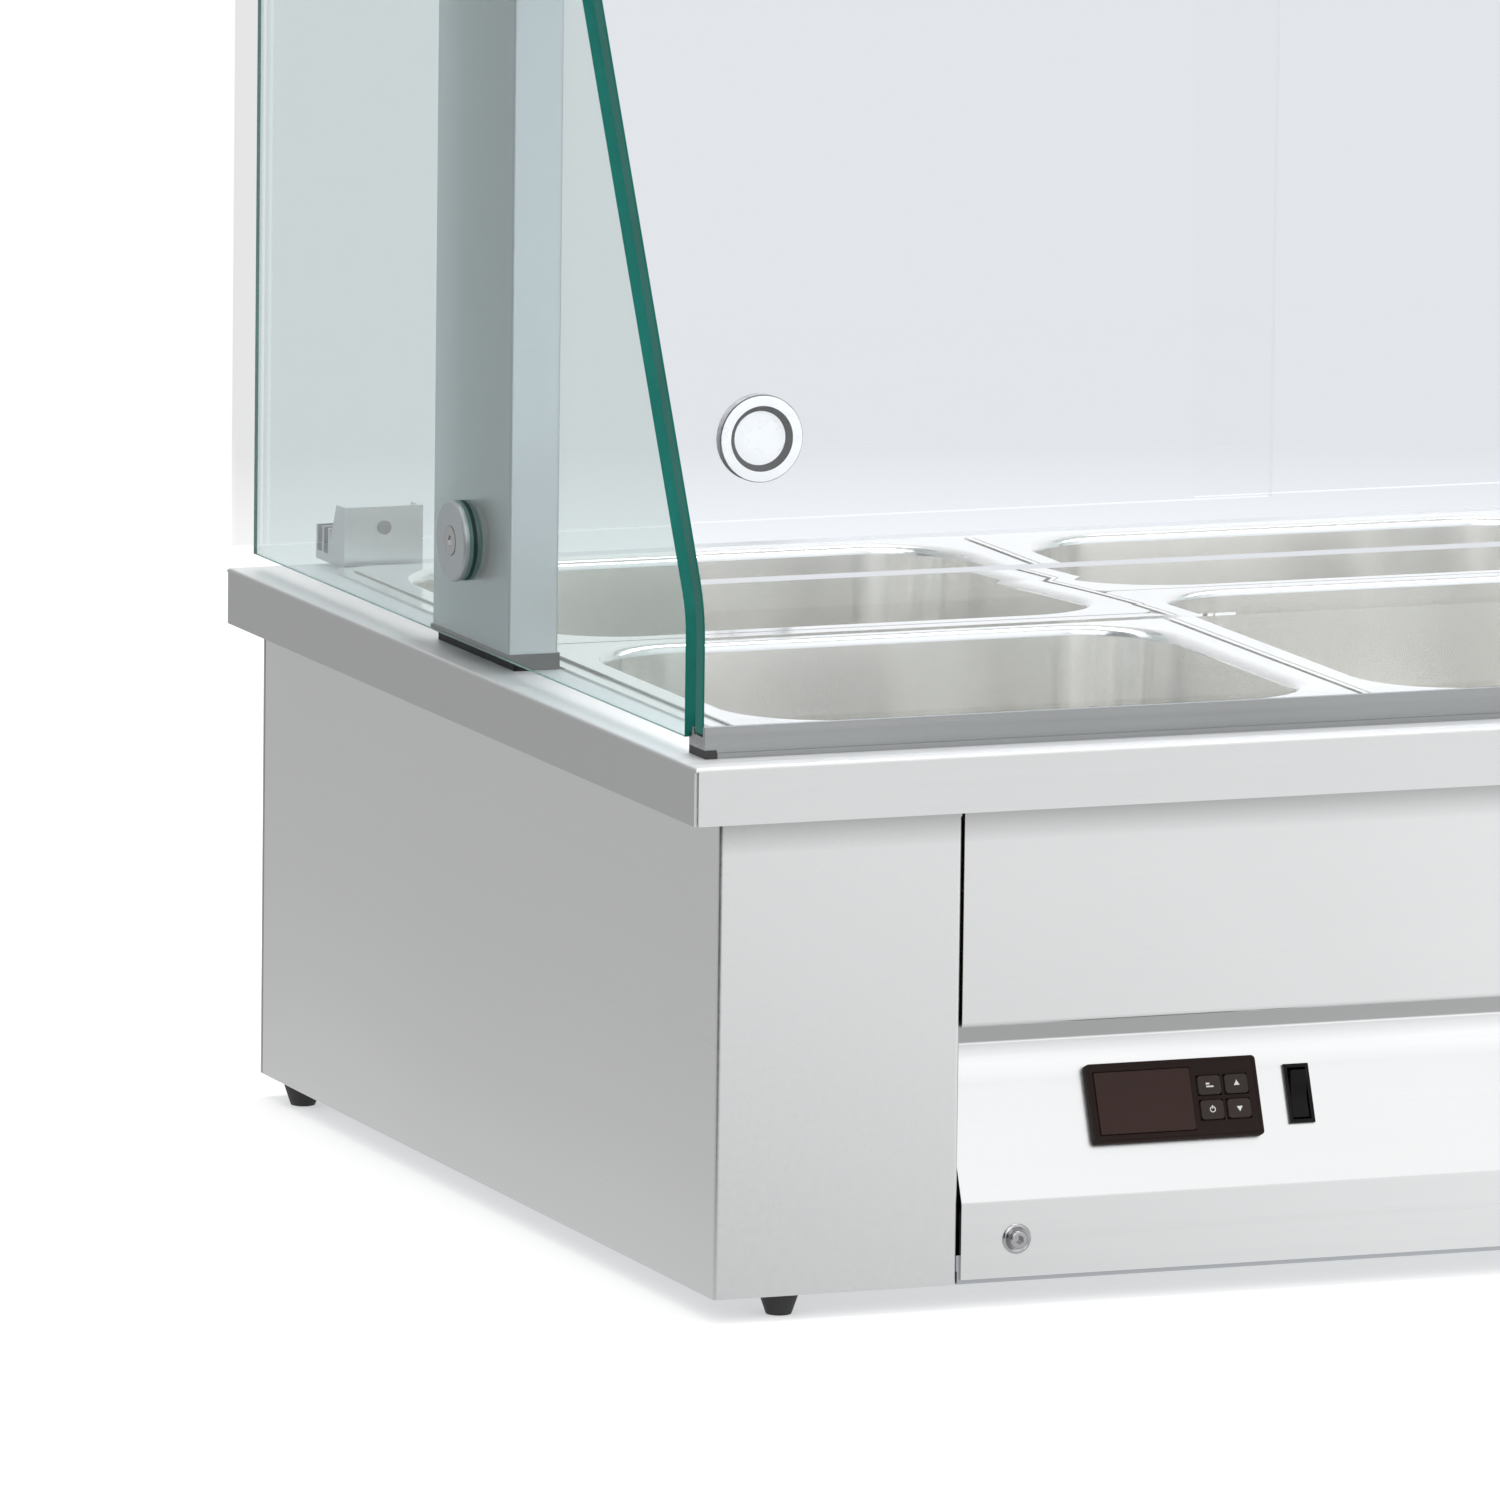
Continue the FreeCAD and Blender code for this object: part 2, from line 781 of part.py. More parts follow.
def make_back_panel():
    """Flat cover with ventilation slots, lapped over the end panels' flanges"""
    x0 = base_left
    louvre_room = -x0 - back_flange - louvre_x - louvre_length
    louvre_columns = 1 + int(louvre_room / louvre_pitch_x)
    plate = block(x0, -x0, back_y - panel_sheet, back_y, foot_height, lip_z)
    cuts = [rod(drain_pipe_outer + 2 * seat_gap, vec(drain_x, back_y - overrun, drain_pipe_z), y_axis,
                2 * overrun),
            rod(gland_thread + seat_gap, vec(left_x + gland_x, back_y - overrun, gland_z), y_axis,
                2 * overrun)]
    for side in (1, -1):
        for column in range(louvre_columns):
            for row in range(louvre_rows):
                x = side * (louvre_x + column * louvre_pitch_x + louvre_length / 2)
                z = louvre_z + row * louvre_pitch_z
                cuts.append(block(x - louvre_length / 2, x + louvre_length / 2, back_y - overrun,
                                  back_y + overrun, z, z + louvre_height))
    for x, z in back_screw_places():
        cuts.append(rod(small_screw_shank + seat_gap, vec(x, back_y - overrun, z), y_axis, 2 * overrun))
    save("back_panel", plate.cut(fused(cuts)))


def small_screw(x, y, z, direction):
    """Pan-head screw whose head sits on the face at y and whose shank runs along direction"""
    start = vec(x, y, z)
    head = rod(small_screw_head, start, -direction, small_screw_head_height)
    shank = rod(small_screw_shank, start, direction, small_screw_length)
    socket = hex_prism(small_screw_shank * half_share, start - direction * small_screw_head_height,
                       direction, small_screw_head_height * half_share)
    return fused([head, shank]).cut(socket)


def make_small_screws():
    screws = []
    for x, z in back_screw_places():
        screws.append(small_screw(x, back_y, z, -y_axis))
    x = left_x + guide_inset + guide_width / 2
    screws.extend(pair(small_screw(x, guide_face, deck_z + guide_screw_z, y_axis)))
    save("pan_head_screws", screws)


def back_screw_places():
    places = []
    for side in (1, -1):
        for z in (foot_height + back_screw_rise, (foot_height + lip_z) / 2, lip_z - back_screw_rise):
            places.append((side * (base_left + back_screw_inset), z))
    return places


def tank_flange_strips(inside_left, inside_front, inside_back):
    """The tank's flange on the worktop: four strips, with the outer corners rounded"""
    flange_front, flange_back = grid_front - tank_flange_margin, grid_back + tank_flange_margin
    side = block(tank_flange_left, inside_left, inside_front, inside_back, deck_z, tank_flange_top)
    strips = pair(side)
    for outer, inner in ((flange_front, inside_front), (flange_back, inside_back)):
        low, high = sorted((outer, inner))
        strip = block(tank_flange_left, -tank_flange_left, low, high, deck_z, tank_flange_top)
        corners = [edge for edge in upright_edges(strip) if abs(edge.BoundBox.Center.y - outer) < tiny]
        strips.append(strip.makeFillet(tank_corner, corners))
    return strips


def make_tank():
    """Welded tank: a floor, four walls, a flange on the worktop and shelves for the divider bars"""
    outer_left, outer_front, outer_back = tank_left + seat_gap, tank_front + seat_gap, tank_back - seat_gap
    inside_left, inside_front = outer_left + tank_sheet, outer_front + tank_sheet
    inside_back = outer_back - tank_sheet
    floor_top = tank_floor + tank_sheet
    hole = rod(drain_hole, vec(drain_x, drain_y, tank_floor - overrun), z_axis, 2 * overrun)
    floor = block(outer_left, -outer_left, outer_front, outer_back, tank_floor, floor_top).cut(hole)
    front = block(outer_left, -outer_left, outer_front, inside_front, floor_top, deck_z)
    back = block(outer_left, -outer_left, inside_back, outer_back, floor_top, deck_z)
    end = block(outer_left, inside_left, inside_front, inside_back, floor_top, deck_z)
    probe = rod(probe_diameter + seat_gap, vec(tank_left - overrun, probe_y, probe_z), x_axis, 2 * overrun)
    sheets = [floor, front, back, end.cut(probe), mirrored(end)]
    shelf_top = tank_flange_top - divider_height
    for x in divider_places():
        for wall, step in ((inside_front, 1), (inside_back, -1)):
            ends = sorted((wall, wall + step * shelf_depth))
            sheets.append(block(x - divider_width / 2, x + divider_width / 2, ends[0], ends[1],
                                shelf_top - shelf_sheet, shelf_top))
    save("water_tank", sheets + tank_flange_strips(inside_left, inside_front, inside_back))


def divider_places():
    places = []
    for index in range(1, column_count):
        places.append(grid_left + index * (column_width + column_gap) - column_gap / 2)
    return places


def make_dividers():
    bars = []
    half = divider_sheet / 2
    y0 = tank_front + seat_gap + tank_sheet + seat_gap
    y1 = tank_back - seat_gap - tank_sheet - seat_gap
    for x in divider_places():
        reach = divider_width / 2 - half
        low = tank_flange_top - divider_height
        top = tank_flange_top - half
        points = [(x - reach, low), (x - reach, top), (x + reach, top), (x + reach, low)]
        face = bent_face(points, divider_sheet, divider_sheet, lambda a, b: vec(a, y0, b))
        rib = block(x - divider_rib_width / 2, x + divider_rib_width / 2, y0, y1, top,
                    tank_flange_top + divider_rib_height)
        bars.append(fused([face.extrude(vec(0, y1 - y0, 0)), rib]))
    save("divider_bars", bars)


def make_insulation():
    """Mineral wool boards against the four walls of the tank, below the worktop"""
    gap = insulation_gap - seat_gap
    x_out, front_out, back_out = tank_left - gap, tank_front - gap, tank_back + gap
    top = deck_z - worktop_lip_height
    probe = rod(probe_diameter + 2 * seat_gap, vec(x_out - insulation - overrun, probe_y, probe_z), x_axis,
                insulation + 2 * overrun)
    left = block(x_out - insulation, x_out, front_out, back_out, tank_floor, top).cut(probe)
    right = block(-x_out, -x_out + insulation, front_out, back_out, tank_floor, top)
    front = block(x_out, -x_out, front_out - insulation, front_out, tank_floor, top)
    back = block(x_out, -x_out, back_out, back_out + insulation, tank_floor, top)
    save("tank_insulation", [left, right, front, back])


def make_elements():
    """One hairpin heating element below each pan column, held up by two straps"""
    rods, straps = [], []
    z = tank_floor - element_gap - element_diameter / 2
    middle = (tank_front + tank_back) / 2
    spread = element_spread / 2
    run = element_length / 2
    for index in range(column_count):
        x = grid_left + column_width / 2 + index * (column_width + column_gap)
        low = middle - run - element_tail
        start, left_end = vec(x - spread, low, z), vec(x - spread, middle + run, z)
        end, right_end = vec(x + spread, low, z), vec(x + spread, middle + run, z)
        tail = Part.makeLine(start, left_end)
        bend = Part.Arc(left_end, vec(x, middle + run + spread, z), right_end).toShape()
        back = Part.makeLine(right_end, end)
        section = Part.Wire(Part.makeCircle(element_diameter / 2, start, y_axis))
        rods.append(Part.Wire([tail, bend, back]).makePipeShell([section], True, False))
        for side in (1, -1):
            y = middle + side * run * half_share
            top = z - element_diameter / 2 - element_gap
            plate = block(x - spread - strap_overhang, x + spread + strap_overhang, y - strap_width / 2,
                          y + strap_width / 2, top - strap_sheet, top)
            stud = rod(element_diameter, vec(x, y, top - strap_sheet), z_axis,
                       tank_floor - top + strap_sheet)
            straps.append(fused([plate, stud]))
    save("heating_elements", rods)
    save("element_straps", straps)


drain_x = grid_left + (column_count - 1) * (column_width + column_gap) - column_gap / 2
drain_y = tank_back - drain_inset_y
drain_pipe_z = tank_floor - drain_flange_thickness - drain_elbow
probe_y = tank_front + probe_inset
probe_z = tank_floor + (tank_depth - pan_depth) / 2


def make_drain():
    """Drain fitting with its elbow, and the straight pipe through the back panel"""
    flange = rod(drain_flange, vec(drain_x, drain_y, tank_floor - drain_flange_thickness), z_axis,
                 drain_flange_thickness)
    neck = rod(drain_hole - 2 * seat_gap, vec(drain_x, drain_y, tank_floor - drain_flange_thickness), z_axis,
               drain_flange_thickness + tank_sheet)
    knee_y = drain_y + drain_elbow
    top = vec(drain_x, drain_y, tank_floor - drain_flange_thickness)
    turn = vec(drain_x, knee_y - drain_elbow * cos(pi / 4), drain_pipe_z + drain_elbow * (1 - sin(pi / 4)))
    knee = vec(drain_x, knee_y, drain_pipe_z)
    bend = Part.Wire(Part.Arc(top, turn, knee).toShape())
    elbow, run = [], []
    for diameter in (drain_pipe_outer, drain_pipe_inner):
        ring = Part.Wire(Part.makeCircle(diameter / 2, top, z_axis))
        elbow.append(bend.makePipeShell([ring], True, False))
        run.append(rod(diameter, knee, y_axis, back_y + seat_gap - knee_y))
    bore = rod(drain_pipe_inner, vec(drain_x, drain_y, tank_floor - drain_flange_thickness), z_axis,
               drain_flange_thickness + 2 * tank_sheet)
    fitting = fused([flange, neck, elbow[0]]).cut(elbow[1]).cut(bore)
    save("drain_pipe", [fitting, run[0].cut(run[1])])


def make_tap():
    start = vec(drain_x, back_y + seat_gap, drain_pipe_z)
    nut = hex_prism(tap_hex, start, y_axis, tap_hex_length)
    body_at = start + y_axis * tap_hex_length
    body = rod(tap_body, body_at, y_axis, tap_body_length)
    ends = [edge for edge in body.Edges if edge.BoundBox.YLength < tiny]
    body = body.makeFillet(tap_body_length / 4, ends)
    spout_at = body_at + y_axis * tap_body_length
    spout = rod(tap_spout, spout_at, y_axis, tap_spout_length - seat_gap)
    stem_y = body_at.y + tap_body_length / 2
    boss_top = drain_pipe_z + tap_body / 2 + tap_stem_height
    boss = rod(tap_stem_diameter + 2 * lever_sheet, vec(drain_x, stem_y, drain_pipe_z), z_axis,
               boss_top - drain_pipe_z)
    nut_low = boss_top + lever_sheet + 2 * lever_gap
    stem = rod(tap_stem_diameter, vec(drain_x, stem_y, drain_pipe_z), z_axis, nut_low - drain_pipe_z)
    stem_nut = hex_prism(tap_stem_diameter + lever_sheet, vec(drain_x, stem_y, nut_low), z_axis,
                         lever_nut_height)
    bore = rod(tap_spout_bore, spout_at + y_axis * tap_spout_length, -y_axis, tap_spout_length)
    save("drain_tap", fused([nut, body, spout, boss, stem, stem_nut]).cut(bore))
    low = boss_top + lever_gap
    disc = rod(tap_stem_diameter + 2 * lever_sheet, vec(drain_x, stem_y, low), z_axis, lever_sheet)
    blade = block(drain_x - lever_length, drain_x, stem_y - lever_width / 2, stem_y + lever_width / 2,
                  low, low + lever_sheet)
    hole = rod(tap_stem_diameter + 2 * stem_clearance, vec(drain_x, stem_y, low - overrun), z_axis,
               2 * overrun + lever_sheet)
    outer = [edge for edge in upright_edges(blade) if edge.BoundBox.XMax < drain_x - lever_length + tiny]
    blade = blade.makeFillet(lever_width / 4, outer)
    save("tap_lever", fused([disc, blade]).cut(hole))
    print("tap lever axis", round(drain_x, 3), round(stem_y, 3), round(low, 3))
    print("drain spout", round(drain_x, 3), round(spout_at.y, 3), round(drain_pipe_z, 3))


def make_electrics():
    """Power relay, terminal block and limit thermostat on the base plate, tank probe and cable gland"""
    low = foot_height + panel_sheet
    middle = base_front + device_y
    x = device_x
    devices = (("power_relay", relay_width, relay_height, relay_depth),
               ("terminal_block", terminal_width, terminal_height, terminal_depth),
               ("limit_thermostat", thermostat_width, thermostat_height, thermostat_depth))
    for name, width, height, depth in devices:
        body = block(x, x + width, middle - depth / 2, middle + depth / 2, low, low + height)
        step = block(x - overrun, x + width + overrun, middle + depth / 4, middle + depth,
                     low + height * device_shoulder_share, low + height + overrun)
        body = body.cut(step)
        save(name, body)
        x = x + width + device_gap
    probe_start = tank_left - insulation - overrun
    sheath = rod(probe_diameter, vec(probe_start, probe_y, probe_z), x_axis, probe_length)
    collar = hex_prism(probe_diameter * 2, vec(probe_start, probe_y, probe_z), -x_axis, probe_diameter)
    save("tank_probe", fused([sheath, collar]))
    gland_at = vec(left_x + gland_x, back_y, gland_z)
    nut = hex_prism(gland_hex, gland_at, y_axis, gland_hex_length)
    dome_at = gland_at + y_axis * gland_hex_length
    dome = Part.makeCone(gland_dome / 2, gland_bore / 2 + panel_sheet, gland_dome_length, dome_at, y_axis)
    thread = rod(gland_thread, gland_at, -y_axis, gland_inside)
    lock = hex_prism(gland_hex, gland_at - y_axis * (panel_sheet + tiny), -y_axis, gland_hex_length)
    bore = rod(gland_bore, gland_at - y_axis * (gland_inside + overrun), y_axis,
               gland_inside + gland_hex_length + gland_dome_length + 2 * overrun)
    save("cable_gland", fused([nut, dome, thread, lock]).cut(bore))
    print("gland mouth", round(gland_at.x, 3), round(dome_at.y + gland_dome_length, 3), round(gland_at.z, 3))


def pan(x0, width, y0, depth):
    """A drawn pan: flat flange, rounded rim, tapered walls and a rounded floor"""
    x0, x1 = x0 + pan_clearance / 2, x0 + width - pan_clearance / 2
    y0, y1 = y0 + pan_clearance / 2, y0 + depth - pan_clearance / 2
    top = tank_flange_top + seat_gap + pan_sheet
    floor = top - pan_depth
    taper = radians(pan_taper)
    rim = pan_corner_radius + pan_rim_radius
    wall_top = pan_corner_radius + pan_rim_radius * (1 - cos(taper))
    wall_top_z = top - pan_rim_radius + pan_rim_radius * sin(taper)
    floor_turn = pan_floor_radius * (1 - sin(taper))
    wall_low_z = floor + floor_turn
    wall_low = wall_top - (wall_top_z - wall_low_z) * tan(taper)
    floor_edge = wall_low - pan_floor_radius * cos(taper)
    rim_mid = (pi / 2 + taper) / 2
    floor_mid = (pi / 2 - taper) / 2

    def rim_point(radius, angle):
        return vec(rim - radius * sin(angle), 0, top - pan_rim_radius + radius * cos(angle))

    def floor_point(radius, angle):
        return vec(floor_edge + radius * sin(angle), 0, floor + pan_floor_radius - radius * cos(angle))

    outer_rim, inner_rim = pan_rim_radius, pan_rim_radius - pan_sheet
    inner_floor, outer_floor = pan_floor_radius, pan_floor_radius + pan_sheet
    full_rim, full_floor = pi / 2 - taper, pi / 2 - taper
    rim_mid, floor_mid = full_rim / 2, full_floor / 2
    a = rim_point(outer_rim, 0)
    b = rim_point(outer_rim, full_rim)
    c = floor_point(inner_floor, full_floor)
    d = floor_point(inner_floor, 0)
    e = floor_point(outer_floor, 0)
    f = floor_point(outer_floor, full_floor)
    g = rim_point(inner_rim, full_rim)
    h = rim_point(inner_rim, 0)
    edges = [Part.Arc(a, rim_point(outer_rim, rim_mid), b).toShape(), Part.makeLine(b, c),
             Part.Arc(c, floor_point(inner_floor, floor_mid), d).toShape(), Part.makeLine(d, e),
             Part.Arc(e, floor_point(outer_floor, floor_mid), f).toShape(), Part.makeLine(f, g),
             Part.Arc(g, rim_point(inner_rim, rim_mid), h).toShape(), Part.makeLine(h, a)]
    section = Part.Face(Part.Wire(edges))
    inset = pan_flange_width + rim
    solids = []
    for turn, x, y, length in ((0, x1 - inset, y0 + inset, y1 - y0 - 2 * inset),
                               (90, x1 - inset, y1 - inset, x1 - x0 - 2 * inset),
                               (180, x0 + inset, y1 - inset, y1 - y0 - 2 * inset),
                               (270, x0 + inset, y0 + inset, x1 - x0 - 2 * inset)):
        side = section.copy().extrude(vec(0, length, 0))
        corner = section.copy().revolve(vec(0, 0, 0), z_axis, -90)
        for shape in (side, corner):
            shape.rotate(vec(0, 0, 0), z_axis, turn)
            shape.translate(vec(x, y, 0))
            solids.append(shape)
    base = rounded_block(x0 + inset - floor_edge, x1 - inset + floor_edge, y0 + inset - floor_edge,
                         y1 - inset + floor_edge, floor - pan_sheet, floor, floor_edge)
    flange = rounded_block(x0, x1, y0, y1, top - pan_sheet, top, pan_flange_corner)
    mouth = rounded_block(x0 + inset - rim, x1 - inset + rim, y0 + inset - rim, y1 - inset + rim,
                          top - overrun, top + overrun, rim)
    return fused(solids + [base, flange.cut(mouth)])


def make_pans():
    step = column_width + column_gap
    half_depth = column_depth * half_share
    rear_depth = column_depth * third_share
    front_depth = column_depth - rear_depth
    save("front_half_pan", pan(grid_left, column_width, grid_front, half_depth))
    save("rear_half_pan", pan(grid_left, column_width, grid_front + half_depth, half_depth))
    save("two_thirds_pan", pan(grid_left + step, column_width, grid_front, front_depth))
    save("one_third_pan", pan(grid_left + step, column_width, grid_front + front_depth, rear_depth))
    save("full_pan", pan(grid_left + 2 * step, column_width, grid_front, column_depth))


def glass_line(inward, low, high):
    """The front glass's section, moved inward: edges from low to high as (y, z) points and an arc"""
    lean = radians(front_glass_lean)
    knee_y = front_y + front_glass_inset_y + inward
    knee_z = deck_z + front_glass_knee - inward * tan(lean / 2)
    radius = front_glass_bend - inward
    reach = radius * tan(lean / 2)
    centre_y = knee_y + radius
    start = (knee_y, knee_z - reach)
    middle = (centre_y - radius * cos(lean / 2), knee_z - reach + radius * sin(lean / 2))
    end = (knee_y + reach * sin(lean), knee_z + reach * cos(lean))
    last = (knee_y + (high - knee_z) * tan(lean), high)
    return (knee_y, low), start, middle, end, last


def line_edges(x, stations):
    low, start, middle, end, last = on_side(x, stations)
    return [Part.makeLine(low, start), Part.Arc(start, middle, end).toShape(), Part.makeLine(end, last)]


def make_front_glass():
    lean = radians(front_glass_lean)
    x0 = left_x + front_glass_inset_x
    low = deck_z + front_glass_seat
    high = deck_z + front_glass_top
    front = glass_line(0, low, high)
    back = glass_line(front_glass_thickness, low, high - front_glass_thickness * sin(lean))
    edges = line_edges(x0, front) + line_edges(x0, back)
    edges.append(Part.makeLine(vec(x0, *front[0]), vec(x0, *back[0])))
    edges.append(Part.makeLine(vec(x0, *front[-1]), vec(x0, *back[-1])))
    face = Part.Face(Part.Wire(Part.__sortEdges__(edges)))
    glass = face.extrude(vec(-2 * x0, 0, 0))
    ends = [edge for edge in glass.Edges if edge.BoundBox.XLength < tiny]
    save("front_glass", glass.makeChamfer(front_glass_arris, ends))


def make_front_rail():
    """Aluminium section that the front glass stands in, on a black pad at each end"""
    glass_front = front_y + front_glass_inset_y
    slot_front = glass_front - rail_slot_gap
    slot_back = glass_front + front_glass_thickness + 2 * rail_slot_gap
    face = slot_front - rail_lip
    heel = slot_back + rail_lip + rail_heel
    outline = [(face - rail_toe, 0), (heel, 0), (heel, rail_floor), (slot_back + rail_lip, rail_floor),
               (slot_back + rail_lip, rail_back_height), (slot_back, rail_back_height),
               (slot_back, rail_floor), (slot_front, rail_floor), (slot_front, rail_front_height),
               (face, rail_front_height), (face, rail_toe_height), (face - rail_toe, rail_toe_height)]
    x0 = left_x + front_glass_inset_x
    rail = side_plate(x0, -x0, [(y, deck_z + z) for y, z in outline])
    pad = block(x0 - seat_gap, x0 + end_pad_length, face - rail_toe - overrun, heel + overrun,
                deck_z - overrun, deck_z + end_pad_height)
    save("front_glass_rail", rail.cut(fused(pair(pad))))
    solid = block(x0, x0 + end_pad_length - seat_gap, face - rail_toe, heel, deck_z, deck_z + end_pad_height)
    save("rail_end_pads", pair(solid))


def clamp_heights():
    return [deck_z + clamp_lower_z, deck_z + clamp_upper_z]


def side_glass():
    x0 = left_x + side_glass_inset
    low = deck_z + side_glass_lift
    high = deck_z + side_glass_top
    back = back_y - side_glass_rear_inset
    front = glass_line(front_glass_thickness + side_glass_front_gap, low, high)
    edges = line_edges(x0, front)
    edges.append(Part.makeLine(vec(x0, *front[-1]), vec(x0, back, high)))
    edges.append(Part.makeLine(vec(x0, back, high), vec(x0, back, low)))
    edges.append(Part.makeLine(vec(x0, back, low), vec(x0, *front[0])))
    glass = Part.Face(Part.Wire(edges)).extrude(vec(side_glass_thickness, 0, 0))
    holes = []
    for z in clamp_heights():
        holes.append(rod(clamp_hole, vec(x0 - overrun, post_y, z), x_axis,
                         side_glass_thickness + 2 * overrun))
    return glass.cut(fused(holes))


def make_posts():
    x1 = post_left + post_width
    y0, y1 = post_y - post_depth / 2, post_y + post_depth / 2
    low = deck_z + post_foot_height
    tube = rounded_block(post_left, x1, y0, y1, low, roof_under, post_corner)
    hollow = block(post_left + post_wall, x1 - post_wall, y0 + post_wall, y1 - post_wall, low - overrun,
                   roof_under + overrun)
    holes = []
    for z in clamp_heights():
        holes.append(rod(clamp_screw_diameter + seat_gap, vec(post_left - overrun, post_y, z), x_axis,
                         2 * overrun))
    tube = tube.cut(hollow).cut(fused(holes))
    head = block(post_left + post_wall / 2, x1 - post_wall / 2, y0 + post_wall / 2, y1 - post_wall / 2,
                 roof_under - post_plug_height, roof_under)
    for x, y in post_screw_places():
        head = head.cut(rod(post_screw_shank + seat_gap, vec(x, y, roof_under + overrun), -z_axis,
                            post_screw_length + overrun))
    save("posts", pair(fused([tube, head])))
    foot = rounded_block(post_left - post_foot_margin, x1 + post_foot_margin, y0 - post_foot_margin,
                         y1 + post_foot_margin, deck_z, low, post_corner)
    slack = seat_gap / 2
    plug = block(post_left + post_wall + slack, x1 - post_wall - slack, y0 + post_wall + slack,
                 y1 - post_wall - slack, low, low + post_plug_height)
    foot = fused([foot, plug])
    screws = []
    for x, y in post_screw_places():
        screws.append(post_screw(x, y, deck_z - worktop_sheet, z_axis))
        screws.append(post_screw(x, y, roof_top, -z_axis))
        if x < 0:
            foot = foot.cut(rod(post_screw_shank + seat_gap, vec(x, y, deck_z - overrun), z_axis,
                                post_screw_length + overrun))
    save("post_feet", pair(foot))
    save("post_screws", screws)


def post_screw(x, y, z, direction):
    """Button-head screw; its head sits on the face at z and its shank runs along direction"""
    start = vec(x, y, z)
    head = rod(post_screw_head, start, -direction, post_screw_head_height)
    rim = start.z - direction.z * post_screw_head_height
    outer = [edge for edge in head.Edges if abs(edge.BoundBox.Center.z - rim) < tiny]
    head = head.makeFillet(post_screw_head_height / 2, outer)
    socket = hex_prism(post_screw_socket, start - direction * post_screw_head_height, direction,
                       post_screw_head_height * half_share)
    return fused([head, rod(post_screw_shank, start, direction, post_screw_length)]).cut(socket)


def make_clamps():
    """Round clamps that hold each side glass to its post"""
    outside = left_x + side_glass_inset
    inside = outside + side_glass_thickness
    caps, discs, screws = [], [], []
    for z in clamp_heights():
        face = outside - clamp_disc - clamp_cap
        cap = rod(clamp_diameter, vec(face, post_y, z), x_axis, clamp_cap)
        rim = [edge for edge in cap.Edges if edge.BoundBox.XMax < face + tiny]
        cap = cap.makeFillet(clamp_cap_edge, rim)
        cap = cap.cut(rod(clamp_screw_head + seat_gap, vec(face, post_y, z), x_axis,
                          clamp_screw_head_height))
        cap = cap.cut(rod(clamp_screw_diameter + seat_gap, vec(face, post_y, z), x_axis, clamp_cap))
        caps.extend(pair(cap))
        bore = rod(clamp_screw_diameter + seat_gap, vec(face, post_y, z), x_axis, post_width)
        outer_disc = rod(clamp_diameter - clamp_cap_edge, vec(outside - clamp_disc, post_y, z), x_axis,
                         clamp_disc)
        inner_disc = rod(clamp_diameter - clamp_cap_edge, vec(inside, post_y, z), x_axis, post_left - inside)
        discs.extend(pair(outer_disc.cut(bore)) + pair(inner_disc.cut(bore)))
        head = rod(clamp_screw_head, vec(face, post_y, z), x_axis, clamp_screw_head_height)
        socket = hex_prism(clamp_screw_socket, vec(face, post_y, z), x_axis,
                           clamp_screw_head_height * half_share)
        nut_x = post_left + post_wall
        shank = rod(clamp_screw_diameter, vec(face, post_y, z), x_axis, nut_x + clamp_nut_height - face)
        nut = hex_prism(clamp_nut, vec(nut_x, post_y, z), x_axis, clamp_nut_height)
        screws.extend(pair(fused([head.cut(socket), shank.cut(socket), nut])))
    save("clamp_caps", caps)
    save("clamp_discs", discs)
    save("clamp_screws", screws)


def door(x0, x1, face):
    """A door pane with a hole for its pull and softened edges"""
    pane = block(x0, x1, face, face + door_thickness, deck_z + door_lift, door_top)
    pane = pane.makeChamfer(door_edge, depth_edges(pane))
    centre = vec((x0 + x1) / 2, face - overrun, deck_z + pull_height)
    return pane.cut(rod(pull_bore + seat_gap, centre, y_axis, door_thickness + 2 * overrun))


door_width = (unit_width - 2 * door_inset + door_overlap) / 2
track_under = roof_under - track_depth
door_top = track_under - shoe_gap - fork_wall
guide_rear = door_front - seat_gap
guide_face = guide_rear - guide_depth


def pull(x, face):
    """Round flush pull: a ring on both faces and a shallow cup on each side of a web"""
    centre = vec(x, face - pull_ring, deck_z + pull_height)
    length = door_thickness + 2 * pull_ring
    barrel = rod(pull_bore, centre, y_axis, length)
    rings = [rod(pull_outer, centre, y_axis, pull_ring),
             rod(pull_outer, centre + y_axis * (length - pull_ring), y_axis, pull_ring)]
    solid = fused([barrel] + rings)
    rims = [edge for edge in solid.Edges if edge.BoundBox.XLength > pull_outer - tiny and
            (edge.BoundBox.YMax < centre.y + tiny or edge.BoundBox.YMin > centre.y + length - tiny)]
    solid = solid.makeFillet(pull_ring * half_share, rims)
    reach = (length - pull_web) / 2
    for start, direction in ((centre, y_axis), (centre + y_axis * length, -y_axis)):
        solid = solid.cut(rod(pull_cup, start, direction, reach))
    return solid


def shoe(x, face):
    """Hanger: a fork on the pane's top edge, a neck and a T head in the track"""
    middle = face + door_thickness / 2
    head_low = track_under + track_ledge_height + shoe_gap
    head_half = (door_pitch - track_wall) / 2 - shoe_gap
    head = block(x - shoe_length / 2, x + shoe_length / 2, middle - head_half, middle + head_half,
                 head_low, head_low + shoe_height)
    neck = block(x - shoe_length / 2, x + shoe_length / 2, middle - shoe_neck / 2, middle + shoe_neck / 2,
                 door_top, head_low)
    fork_half = door_thickness / 2 + fork_wall
    fork = block(x - shoe_length / 2, x + shoe_length / 2, middle - fork_half, middle + fork_half,
                 door_top - fork_depth, door_top + fork_wall)
    slot = block(x - shoe_length, x + shoe_length, middle - door_thickness / 2, middle + door_thickness / 2,
                 door_top - fork_depth - overrun, door_top)
    return fused([head, neck, fork.cut(slot)])


